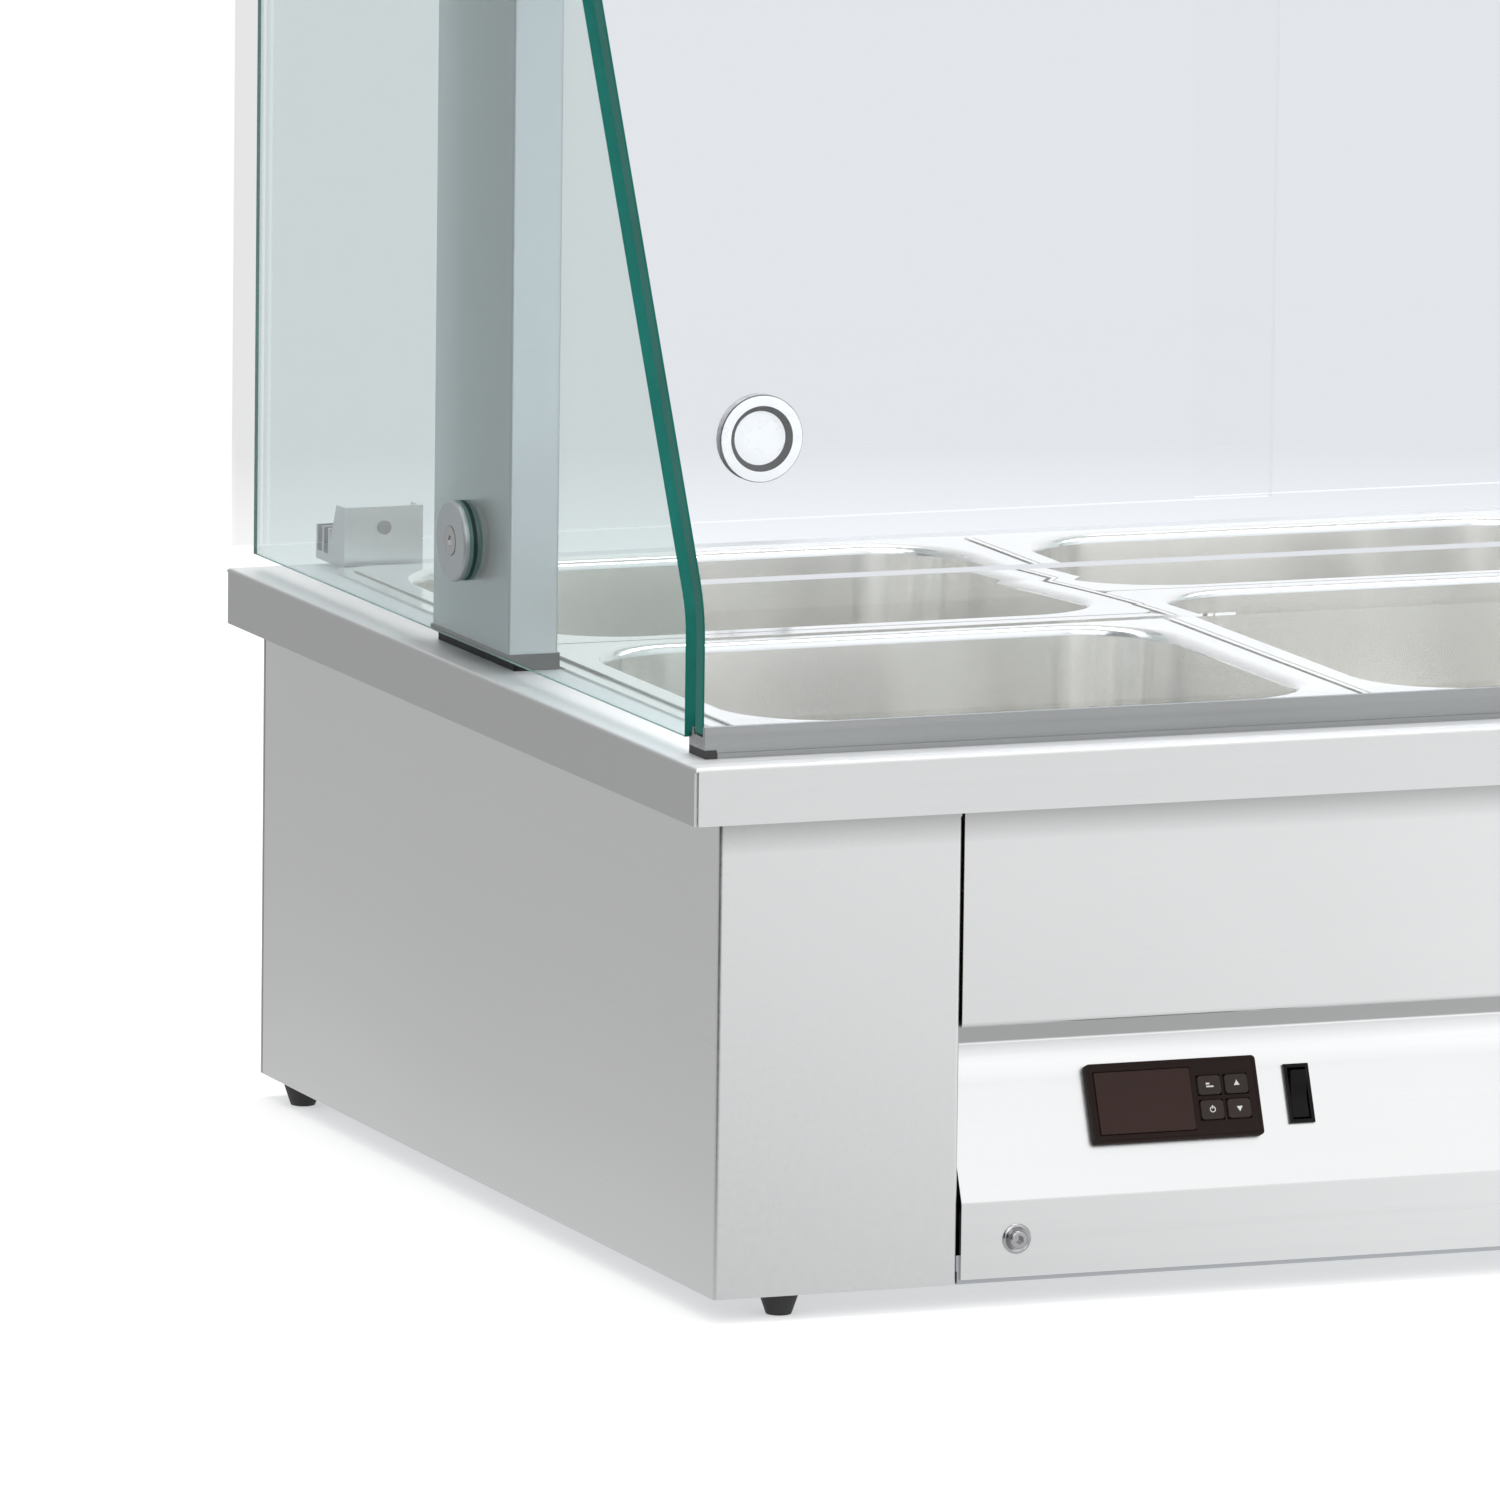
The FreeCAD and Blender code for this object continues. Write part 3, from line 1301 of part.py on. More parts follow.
def make_doors():
    left = left_x + door_inset
    for name, x0, face in (("left_door", left, door_front),
                           ("right_door", -left - door_width, rear_door_front)):
        x1 = x0 + door_width
        save(name, door(x0, x1, face))
        save(name + "_pull", pull((x0 + x1) / 2, face))
        save(name + "_hangers", [shoe(x0 + shoe_inset, face), shoe(x1 - shoe_inset, face)])


def make_track():
    """Double track under the roof: a top plate, three walls and ledges that carry the hangers"""
    first = door_front + door_thickness / 2 - door_pitch / 2
    x0 = left_x + roof_sheet + seat_gap
    plates = [block(x0, -x0, first - track_wall / 2, first + 2 * door_pitch + track_wall / 2,
                    roof_under - track_top, roof_under)]
    for index in range(3):
        y = first + index * door_pitch
        low = y - track_wall / 2 - (track_ledge if index > 0 else 0)
        high = y + track_wall / 2 + (track_ledge if index < 2 else 0)
        plates.append(block(x0, -x0, y - track_wall / 2, y + track_wall / 2, track_under, roof_under))
        plates.append(block(x0, -x0, low, high, track_under, track_under + track_ledge_height))
    save("door_track", fused(plates))


def make_door_guides():
    """Brackets on the worktop's back edge, with fingers on both sides of each door's lower edge"""
    x0 = left_x + guide_inset
    x1 = x0 + guide_width
    gusset = [(guide_face, deck_z), (guide_rear, deck_z), (guide_rear, deck_z + guide_base),
              (guide_face + guide_top_depth, deck_z + guide_height), (guide_face, deck_z + guide_height)]
    last = rear_door_front + door_thickness + door_guide_slack
    top = deck_z + guide_base
    between = door_pitch - door_thickness - 2 * door_guide_slack
    solids = [side_plate(x0, x0 + guide_sheet, gusset), side_plate(x1 - guide_sheet, x1, gusset),
              block(x0, x1, guide_face, guide_face + guide_sheet, deck_z, deck_z + guide_height),
              block(x0, x1, guide_face, last + guide_sheet, deck_z, top)]
    for y, depth in ((guide_rear - guide_sheet, guide_sheet),
                     (door_front + door_thickness + door_guide_slack, between),
                     (last, guide_sheet)):
        solids.append(block(x0, x1, y, y + depth, deck_z, top + guide_upstand))
    middle = (x0 + x1) / 2
    hole = rod(small_screw_shank + seat_gap, vec(middle, guide_face - overrun, deck_z + guide_screw_z),
               y_axis, 2 * overrun)
    save("door_guides", pair(fused(solids).cut(hole)))


def make_roof():
    """Tray with turned-down lips that rests on the posts"""
    y0 = front_y + roof_front
    low = roof_top - roof_lip
    solid = block(left_x, -left_x, y0, roof_back, low, roof_top)
    rim = [edge for edge in solid.Edges if edge.BoundBox.ZMin > roof_top - tiny] + upright_edges(solid)
    solid = solid.makeFillet(roof_bend, rim)
    inner = block(left_x + roof_sheet, -left_x - roof_sheet, y0 + roof_sheet, roof_back - roof_sheet,
                  low - overrun, roof_under)
    cuts = [inner]
    for x, y in post_screw_places():
        cuts.append(rod(post_screw_shank + seat_gap, vec(x, y, roof_under - overrun), z_axis, 2 * overrun))
    save("roof_panel", solid.cut(fused(cuts)))


def make_glass_channel():
    """Leaning channel under the roof that holds the front glass's top edge"""
    lean = radians(front_glass_lean)
    x0 = left_x + roof_sheet + seat_gap
    high = deck_z + front_glass_top
    tip = glass_line(0, deck_z, high)[-1]
    slack = channel_slack

    def along(out, down):
        """A point measured square to the glass's front face and down the glass from its top edge"""
        return (tip[0] - out * cos(lean) - down * sin(lean), tip[1] + out * sin(lean) - down * cos(lean))

    back = -front_glass_thickness - slack
    outline = [along(slack + channel_wall, channel_depth),
               along(slack + channel_wall, -slack - channel_wall),
               along(back - channel_wall, -slack - channel_wall), along(back - channel_wall, channel_depth),
               along(back, channel_depth), along(back, -slack), along(slack, -slack),
               along(slack, channel_depth)]
    start = along(back - channel_wall, channel_depth / 2)
    plate = [(start[0] - channel_wall, start[1]), (start[0] + channel_wall * half_share, start[1]),
             (start[0] + channel_wall * half_share, roof_under - channel_wall),
             (start[0] + channel_flange, roof_under - channel_wall), (start[0] + channel_flange, roof_under),
             (start[0] - channel_wall, roof_under)]
    channel = side_plate(x0, -x0, outline)
    inside = side_plate(x0 - overrun, -x0 + overrun,
                        [along(slack, channel_depth + overrun), along(slack, -slack), along(back, -slack),
                         along(back, channel_depth + overrun)])
    hanger = side_plate(x0, -x0, plate).cut(inside)
    save("front_glass_channel", fused([channel, hanger]))


def make_lamp_hood():
    """Trough under the roof with a reflector, three heat lamps and a cover glass"""
    x0 = post_left + post_width + hood_side_gap
    half = roof_sheet / 2
    y0, y1 = post_y - hood_width / 2, post_y + hood_width / 2
    top = roof_under - half
    low = roof_under - hood_drop
    points = [(y0 - hood_flange, top), (y0, top), (y0, low), (y0 + hood_return, low)]
    other = [(y1 + hood_flange, top), (y1, top), (y1, low), (y1 - hood_return, low)]
    sides = [bent_along_x(points, roof_sheet, roof_sheet, x0, -x0),
             bent_along_x(other, roof_sheet, roof_sheet, x0, -x0)]
    end = block(x0 - roof_sheet, x0, y0 - half, y1 + half, low - half, roof_under)
    tab = block(x0 - roof_sheet - hood_flange / 2, x0 - roof_sheet, y0 + hood_flange, y1 - hood_flange,
                roof_under - roof_sheet, roof_under)
    cap = fused([end, tab])
    save("lamp_hood", fused(sides + pair(cap)))
    pane_low = low + half
    save("lamp_cover_glass", block(x0 + seat_gap, -x0 - seat_gap, y0 + half + roof_sheet,
                                   y1 - half - roof_sheet, pane_low, pane_low + cover_glass))
    span = -2 * x0
    lamps, holders = [], []
    z = pane_low + cover_glass + lamp_rise + lamp_diameter / 2
    for index in range(column_count):
        x = x0 + span * (index + half_share) / column_count
        tube = rod(lamp_diameter, vec(x - lamp_length / 2, post_y, z), x_axis, lamp_length)
        pinch = block(x - lamp_length / 2 - lamp_pinch, x + lamp_length / 2 + lamp_pinch,
                      post_y - lamp_diameter / 4, post_y + lamp_diameter / 4, z - lamp_diameter / 3,
                      z + lamp_diameter / 3)
        lamps.append(fused([tube, pinch]))
        for side in (1, -1):
            at = x + side * (lamp_length / 2 + lamp_pinch + holder_gap + holder_length / 2)
            holders.append(block(at - holder_length / 2, at + holder_length / 2, post_y - holder_width / 2,
                                 post_y + holder_width / 2, z - holder_height / 2, z + holder_height / 2))
    save("heat_lamps", lamps)
    wing = reflector_width / 2
    crest = z + holder_height / 2 + reflector_sheet / 2
    crown = wing * reflector_crown_share
    shade = [(post_y - wing, crest - reflector_rise), (post_y - crown, crest), (post_y + crown, crest),
             (post_y + wing, crest - reflector_rise)]
    save("lamp_reflector", bent_along_x(shade, reflector_sheet, reflector_sheet * 2, x0, -x0))
    save("lamp_holders", holders)


os.makedirs("parts", exist_ok=True)
make_worktop()
make_end_panels()
make_upper_front_panel()
make_control_panel()
make_panel_screws()
make_controller()
make_switch()
make_base_plate()
make_feet()
make_back_panel()
make_small_screws()
make_tank()
make_dividers()
make_insulation()
make_elements()
make_drain()
make_tap()
make_electrics()
make_pans()
make_front_glass()
make_front_rail()
save("side_glasses", pair(side_glass()))
make_posts()
make_clamps()
make_doors()
make_track()
make_door_guides()
make_roof()
make_glass_channel()
make_lamp_hood()
print(len(saved_nodes), "nodes")
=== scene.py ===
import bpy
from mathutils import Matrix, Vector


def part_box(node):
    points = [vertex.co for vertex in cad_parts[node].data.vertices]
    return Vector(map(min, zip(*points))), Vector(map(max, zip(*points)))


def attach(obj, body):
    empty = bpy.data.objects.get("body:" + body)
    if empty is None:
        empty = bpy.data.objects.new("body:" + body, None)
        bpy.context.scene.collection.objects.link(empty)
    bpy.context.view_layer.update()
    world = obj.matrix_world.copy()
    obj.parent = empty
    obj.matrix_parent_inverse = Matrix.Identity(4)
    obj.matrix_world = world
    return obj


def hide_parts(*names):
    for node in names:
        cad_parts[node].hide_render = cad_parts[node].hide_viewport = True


bl_info = {
    "name": "Heated Display Bain-Marie",
    "version": (1, 0, 0),
    "blender": (4, 5, 0),
    "location": "3D View > Sidebar > Bain-Marie",
    "description": "Dresses the counter unit: steel, glass, pans, controls and the studio round it",
    "category": "Object",
}

from math import cos, pi, radians, sin

import bpy
from bpy.props import FloatProperty, FloatVectorProperty, IntProperty, PointerProperty
from mathutils import Euler, Matrix, Vector

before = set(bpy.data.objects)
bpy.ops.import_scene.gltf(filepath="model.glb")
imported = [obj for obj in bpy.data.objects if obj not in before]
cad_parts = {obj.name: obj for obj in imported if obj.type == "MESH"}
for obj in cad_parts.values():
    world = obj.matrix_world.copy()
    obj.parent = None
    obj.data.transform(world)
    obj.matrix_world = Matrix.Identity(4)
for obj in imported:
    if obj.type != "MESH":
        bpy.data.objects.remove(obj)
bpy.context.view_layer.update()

PHOTO_SIDE = 1500
SENSOR_WIDTH = 36.0
FARTHEST_SEEN = 100.0

# Two places nearer than a hair count as one; a normal with this share along an axis looks that way
HAIR = 0.0001
STRAIGHT = 0.9

# How closely a pattern's marks follow each other along X, Y and Z
ALONG_X = (3, 260, 260)
ALONG_Y = (260, 3, 260)
ALONG_Z = (260, 260, 3)
EXTRUDED = (1, 120, 180)
SPECKLED = (40, 40, 40)
CLOUDED = (2, 2, 2)
MATTED = (1, 1, 4)

NODE_ROWS = 6
NODE_SPACE = (220, 320)


def corners(node):
    """Lowest and highest corner of a node as two vectors"""
    low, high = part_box(node)
    return Vector(low), Vector(high)


def middle(node):
    """Middle of a node's box"""
    low, high = corners(node)
    return (low + high) / 2


# Sizes and colours


def length(name, description, default):
    return FloatProperty(name=name, description=description, default=default, unit="LENGTH", precision=4)


def lengths(name, description, default):
    return FloatVectorProperty(name=name, description=description, default=default, size=len(default),
                               unit="LENGTH", precision=4)


def angle(name, description, degrees):
    return FloatProperty(name=name, description=description, default=radians(degrees), subtype="ANGLE")


def amount(name, description, default):
    return FloatProperty(name=name, description=description, default=default)


def amounts(name, description, default):
    return FloatVectorProperty(name=name, description=description, default=default, size=len(default))


def colour(name, description, default):
    return FloatVectorProperty(name=name, description=description, default=default, subtype="COLOR")


class CabinetFinishes(bpy.types.PropertyGroup):
    """Colours of the unit's finishes, with the painted shade and painted light laid on them"""

    steel: colour("Brushed steel", "Colour of the panels and the worktop", (0.66, 0.665, 0.67))
    drawn_steel: colour("Drawn steel", "Colour of the pans and the tank", (0.84, 0.825, 0.785))
    aluminium: colour("Anodised aluminium", "Colour of the posts", (0.62, 0.64, 0.65))
    rail_aluminium: colour("Rail aluminium", "Colour of the rails and the doors' track", (0.31, 0.32, 0.325))
    glass_edge: colour("Glass edge", "Colour seen along a cut edge of the glass", (0.010, 0.13, 0.105))
    front_glass: colour("Front glass", "Tint of the front glass seen through its faces", (0.91, 0.94, 0.985))
    side_glass: colour("Side glass", "Tint of the side glass seen through its faces", (0.76, 0.86, 0.87))
    controller: colour("Controller", "Colour of the controller's housing", (0.024, 0.0165, 0.0145))
    lever: colour("Lever", "Colour of the tap's lever", (0.45, 0.02, 0.015))
    # Painted shade and painted light in the colours: shade below the lip and in the recess, light on the
    # sloping panel, shade on the worktop's ends, the posts' sides and the walls in the finger pulls
    shade: amount("Shade", "Share of light left right below the worktop's lip", 0.5)
    shade_reach: length("Shade's reach", "Height over which a shade fades", 0.018)
    recess_shade: amount("Recess shade", "Share of light left above the sloping panel", 0.53)
    recess_reach: length("Recess reach", "Height over which the recess gets dark", 0.001)
    slope_low: amount("Slope light", "Light on the sloping panel's lower part", 1.06)
    slope_high: amount("Slope top light", "Light on the sloping panel's upper end", 1.42)
    worktop_end_shade: amount("Worktop ends", "Tone of the worktop's end faces", 0.66)
    post_side_shade: amount("Post sides", "Tone of the posts' broad sides", 0.8)
    pull_wall_shade: amount("Pull walls", "Tone of the walls in the finger pulls", 0.05)


class ControlSizes(bpy.types.PropertyGroup):
    """Sizes of the controls on the sloping panel; heights run up the slope from the fold"""

    slope: angle("Slope", "Sloping panel's turn from upright", 22)
    fold_height: length("Fold height", "Height of the fold below the sloping panel", 0.0512)
    slope_length: length("Slope length", "Sloping panel's height", 0.077)
    middle_height: length("Middle", "Middle of the controls", 0.0435)
    bezel_width: length("Bezel width", "Controller's bezel, across", 0.088)
    bezel_height: length("Bezel height", "Controller's bezel, up the slope", 0.039)
    bezel_depth: length("Bezel depth", "How far the bezel stands off the panel", 0.004)
    case_width: length("Case width", "Controller's case behind the panel", 0.0758)
    case_height: length("Case height", "Controller's case, up the slope", 0.0288)
    case_depth: length("Case depth", "Controller's case, into the unit", 0.046)
    window_width: length("Window width", "Smoked window, across", 0.0494)
    window_height: length("Window height", "Smoked window, up the slope", 0.0304)
    window_shift: length("Window shift", "Window's place left of the controller's middle", 0.0155)
    key_width: length("Key width", "One key, across", 0.012)
    key_height: length("Key height", "One key, up the slope", 0.0095)
    key_shift: length("Key shift", "Middle of the keys, right of the controller's middle", 0.0255)
    key_pitch: lengths("Key pitch", "Distance between keys, across and up", (0.014, 0.012))
    rocker_width: length("Rocker width", "Rocker, across", 0.0087)
    rocker_height: length("Rocker height", "Rocker, up the slope", 0.0232)
    rocker_tilt: angle("Rocker tilt", "Rocker's resting tilt", 9)


class FittingSizes(bpy.types.PropertyGroup):
    """Sizes of the turned fittings"""

    corners: IntProperty(name="Corners", description="Sides of a turned piece", default=64, min=24, max=128)
    rim: length("Rim", "Rounding of a turned piece's rim", 0.0008)
    pull_cup: length("Pull cup", "Inner diameter of the finger pull", 0.033)
    pull_taper: length("Pull taper", "How much narrower the cup's floor is, each side", 0.0022)
    pull_barrel: length("Pull barrel", "Pull's diameter inside the door", 0.036)
    pull_web: length("Pull web", "Wall in the middle of the pull", 0.0012)
    cap_thickness: length("Cap thickness", "Thickness of a clamp's cap", 0.003)
    cap_recess: length("Cap recess", "Diameter of the recess for the clamp screw's head", 0.0143)
    cap_recess_depth: length("Recess depth", "Depth of the cap's recess", 0.0012)
    foot_sole: length("Foot sole", "Radius of a foot's sole", 0.0065)
    foot_top: length("Foot top", "Radius of a foot under the base plate", 0.0095)
    washer_radius: length("Washer radius", "Radius of a panel screw's washer", 0.0073)
    washer_thickness: length("Washer thickness", "Thickness of the washer", 0.0012)
    head_radius: length("Head radius", "Radius of the screw's head", 0.0045)
    head_height: length("Head height", "Height of the screw's head", 0.0026)


class InnerSizes(bpy.types.PropertyGroup):
    """Sizes of the pieces inside the roof and the base"""

    lamp_length: length("Lamp length", "Length of a heat lamp", 0.240)
    wool_thickness: length("Wool thickness", "Thickness of an insulation board", 0.014)
    wool_roughness: length("Wool roughness", "Depth of the hollows in the wool", 0.0016)


class StageSettings(bpy.types.PropertyGroup):
    """Camera, light and floor"""

    focal_pixels: amount("Focal length", "Focal length in pixels of the square frame", 17819.0)
    yaw: angle("Yaw", "Camera's turn to the right of +Y", 21.551)
    pitch: angle("Pitch", "Camera's tilt below level", 9.294)
    roll: angle("Roll", "Camera's turn about its own line of sight", 0.702)
    place: lengths("Camera place", "Camera's place", (-3.5566, -8.0295, 1.6302))
    fill: amount("Fill", "Strength of the light that comes from all round", 0.8)
    sky: amount("Sky", "Share of the surroundings' strength above the horizon", 0.8)
    dim_side: amount("Dim side", "Strength of the left surroundings in a reflection", 0.62)
    bright_side: amount("Bright side", "Strength of the right surroundings in a reflection", 1.36)
    sky_sides: amounts("Sky's sides", "Directions along X: where it brightens, is bright, dims again",
                       (-0.9, 0.4, 0.65))
    floor_sides: lengths("Floor's sides", "Places along X: where it brightens, is bright, dims again",
                         (-0.8, 0.35, 1.2))
    card: amount("Dark card", "Share of light left where the dark card is reflected", 0.12)
    sky_card: amounts("Card in the sky", "Directions along X and Y where the card ends", (-0.6, -0.2))
    floor_card: lengths("Card on the floor", "Places along X and Y where the card ends", (-0.8, -0.45))
    card_reach: lengths("Card's reach", "Places along X where it fades on the far left", (-3.4, -3.0))
    card_blur: amount("Card's blur", "Half the width of the card's soft edges", 0.1)
    behind_glass: amount("Behind glass", "Strength of the surroundings seen through glass", 0.80)
    floor_colour: colour("Floor", "Colour of the floor", (0.82, 0.82, 0.82))
    floor_radius: length("Floor radius", "Radius of the floor", 14.0)
    floor_glow: amount("Floor glow", "Light that the floor adds for the camera", 0.42)
    floor_near: length("Floor near", "Distance up to which the floor keeps shadows", 1.1)
    floor_far: length("Floor far", "Distance from which the floor is plain white", 2.4)
    target: lengths("Target", "Place that the lights point at", (0.0, 0.0, 0.3))
    key: amount("Key light", "Power of the large light at the front left", 75.0)
    key_place: lengths("Key light's place", "Place of the key light", (-2.2, -4.4, 3.4))
    front: amount("Front light", "Power of the light that the sloping panel reflects", 16.0)
    front_place: lengths("Front light's place", "Place of the front light", (1.9, -4.4, 3.6))
    front_size: length("Front lights' size", "Side of the key light and the front light", 4.0)
    top: amount("Top light", "Power of the light overhead", 140.0)
    top_place: lengths("Top light's place", "Place of the top light", (0.4, 0.2, 4.2))
    top_size: length("Top light's size", "Side of the top light", 3.0)
    display: amount("Display light", "Power of the light below the lamps", 3.2)
    display_gap: length("Display gap", "Distance of that light below the lamps' pane", 0.004)


# Materials


def add_node(tree, kind, inputs=None, **settings):
    """A node with its settings, and with numbers, colours or other nodes' outputs at its inputs"""
    column, row = divmod(len(tree.nodes), NODE_ROWS)
    node = tree.nodes.new(kind)
    node.location = (column * NODE_SPACE[0], -row * NODE_SPACE[1])
    for key, value in settings.items():
        setattr(node, key, value)
    for key, value in (inputs or {}).items():
        if isinstance(value, bpy.types.NodeSocket):
            tree.links.new(value, node.inputs[key])
        else:
            node.inputs[key].default_value = value
    return node


def new_tree(data):
    """The empty node tree of a material or a world"""
    data.use_nodes = True
    data.node_tree.nodes.clear()
    return data.node_tree


def as_material(build):
    """Let a function that builds a shader make a whole material, whose name it takes in place of the tree"""
    def make(name, *values, **settings):
        material = bpy.data.materials.new(name)
        tree = new_tree(material)
        shader = build(tree, *values, **settings)
        add_node(tree, "ShaderNodeOutputMaterial", {"Surface": shader.outputs[0]})
        return material
    return make


def coordinate(tree, kind, axis):
    """One axis of a texture coordinate"""
    place = add_node(tree, "ShaderNodeTexCoord")
    return add_node(tree, "ShaderNodeSeparateXYZ", {"Vector": place.outputs[kind]}).outputs[axis]


def object_pattern(tree, stretch=(1, 1, 1)):
    """Object coordinates stretched along each axis, for a pattern that runs one way"""
    place = add_node(tree, "ShaderNodeTexCoord")
    mapping = add_node(tree, "ShaderNodeMapping", {"Vector": place.outputs["Object"], "Scale": stretch})
    return mapping.outputs["Vector"]


def noise(tree, vector, scale, detail=3.0):
    """Cloudy values round one half"""
    inputs = {"Vector": vector, "Scale": scale, "Detail": detail}
    return add_node(tree, "ShaderNodeTexNoise", inputs).outputs["Fac"]


def mapped(tree, value, low, high, start=0.3, end=0.7):
    """A value turned from start..end to low..high"""
    inputs = {"Value": value, "From Min": start, "From Max": end, "To Min": low, "To Max": high}
    return add_node(tree, "ShaderNodeMapRange", inputs).outputs["Result"]


def calculated(tree, operation, first, second=0.0):
    """The result of one sum on two values, each a number or another node's output"""
    return add_node(tree, "ShaderNodeMath", {0: first, 1: second}, operation=operation).outputs["Value"]


def mixed(tree, share, first, second):
    """A shader between two others"""
    inputs = {"Fac": share, 1: first.outputs[0], 2: second.outputs[0]}
    return add_node(tree, "ShaderNodeMixShader", inputs)


def two_tone(tree, value, tone, dark, light):
    """A tone between a darker and a lighter share of itself"""
    ends = [(*(min(1.0, channel * share) for channel in tone), 1) for share in (dark, light)]
    inputs = {"Factor": value, "A": ends[0], "B": ends[1]}
    return add_node(tree, "ShaderNodeMix", inputs, data_type="RGBA").outputs["Result"]


def scaled(tree, tone, factor):
    """A tone times a factor"""
    inputs = {0: tone, "Scale": factor}
    return add_node(tree, "ShaderNodeVectorMath", inputs, operation="SCALE").outputs["Vector"]


def bumped(tree, height, strength, distance):
    """Normals of a surface that a pattern raises"""
    inputs = {"Height": height, "Strength": strength, "Distance": distance}
    return add_node(tree, "ShaderNodeBump", inputs).outputs["Normal"]


def facing(tree, axis):
    """How much a face looks along an axis, from 0 to 1"""
    faces = add_node(tree, "ShaderNodeNewGeometry")
    parts = add_node(tree, "ShaderNodeSeparateXYZ", {"Vector": faces.outputs["True Normal"]})
    return calculated(tree, "ABSOLUTE", parts.outputs[axis])


def painted_light_by_height(tree, tone, start, end, low, high):
    """Painted shade and painted light: the front faces' tone scaled from low to high between two heights,
    standing in for the shade under an overhang or the light on a slope
    """
    light = mapped(tree, coordinate(tree, "Object", "Z"), low, high, start, end)
    front = calculated(tree, "GREATER_THAN", facing(tree, "Y"), 0.5)
    change = calculated(tree, "MULTIPLY", calculated(tree, "SUBTRACT", light, 1.0), front)
    return scaled(tree, tone, calculated(tree, "ADD", change, 1.0))


@as_material
def brushed_metal(tree, tone, grain=ALONG_X, roughness=0.32, depth=0.00002, contrast=0.04, metal=1.0,
                  across=1.0, painted_shade_and_light=()):
    """Grain along one axis, with faint marks; across is a painted shade on the faces that look along X, and
    the list of shades holds painted shade and painted light by height
    """
    lines = noise(tree, object_pattern(tree, grain), scale=1.0, detail=4.0)
    marks = noise(tree, object_pattern(tree), scale=5.0, detail=2.0)
    base = two_tone(tree, lines, tone, 1 - contrast, 1 + contrast)
    # Painted shade: faces that look along X are darkened, standing in for the dimmer light on the sides
    if across < 1:
        base = scaled(tree, base, mapped(tree, facing(tree, "X"), 1.0, across, 0.4, 0.8))
    # Painted shade and painted light that change with height
    for shade in painted_shade_and_light:
        base = painted_light_by_height(tree, base, *shade)
    fine = mapped(tree, lines, -contrast, contrast)
    broad = mapped(tree, marks, roughness - contrast / 2, roughness + contrast / 2)
    return add_node(tree, "ShaderNodeBsdfPrincipled", {
        "Base Color": base,
        "Metallic": metal,
        "Roughness": calculated(tree, "ADD", fine, broad),
        "Normal": bumped(tree, lines, 0.3, depth),
    })


@as_material
def plain_plastic(tree, tone, roughness=0.5, grain_scale=900.0, depth=0.00004, coat=0.0, gloss=0.5):
    """Moulded plastic or rubber: a fine grain over broad, faint patches"""
    grain = noise(tree, object_pattern(tree), grain_scale, detail=2.0)
    patches = noise(tree, object_pattern(tree), scale=14.0)
    return add_node(tree, "ShaderNodeBsdfPrincipled", {
        "Base Color": two_tone(tree, patches, tone, 0.88, 1.1),
        "Roughness": mapped(tree, patches, roughness - 0.05, roughness + 0.06),
        "Specular IOR Level": gloss,
        "Coat Weight": coat,
        "Coat Roughness": 0.06,
        "Normal": bumped(tree, grain, 0.3, depth),
    })


def letting_light_in(tree, shader, tone):
    """The glass for every ray but those of the lamps, which pass straight through"""
    passing = add_node(tree, "ShaderNodeBsdfTransparent", {"Color": (*tone, 1)})
    path = add_node(tree, "ShaderNodeLightPath")
    return mixed(tree, path.outputs["Is Shadow Ray"], shader, passing)


def clear_body(tree, tint, index, gloss, haze):
    """The clear body of a pane or a tube"""
    return add_node(tree, "ShaderNodeBsdfPrincipled", {
        "Base Color": (*tint, 1),
        "Roughness": haze,
        "IOR": index,
        "Specular IOR Level": gloss,
        "Transmission Weight": 1.0,
    })


def cut_edge(tree, glass, edge, axis, on_faces):
    """The glass with its cut edges coloured, told from the faces by the way they look"""
    streaks = noise(tree, object_pattern(tree, (6, 6, 6)), scale=3.0)
    rim = add_node(tree, "ShaderNodeBsdfPrincipled", {
        "Base Color": two_tone(tree, streaks, edge, 0.75, 1.35),
        "Roughness": 0.25,
        "Specular IOR Level": 0.06,
    })
    is_edge = calculated(tree, "LESS_THAN" if on_faces else "GREATER_THAN", facing(tree, axis), 0.5)
    return mixed(tree, is_edge, glass, rim)


@as_material
def pane_glass(tree, tint, edge=None, axis="X", on_faces=True, index=1.45, gloss=0.5):
    """Faintly dusty glass whose faces look along the axis, or whose cut edges do when on_faces is off"""
    dust = mapped(tree, noise(tree, object_pattern(tree), scale=9.0, detail=4.0), 0.0, 0.005)
    glass = clear_body(tree, tint, index, gloss, dust)
    if edge is not None:
        glass = cut_edge(tree, glass, edge, axis, on_faces)
    return letting_light_in(tree, glass, [channel ** 0.5 for channel in tint])


@as_material
def tube_glass(tree, tint):
    """Quartz of a lamp's tube, clouded by heat"""
    haze = mapped(tree, noise(tree, object_pattern(tree), scale=40.0), 0.02, 0.10)
    return letting_light_in(tree, clear_body(tree, tint, 1.2, 0.5, haze), (1, 1, 1))


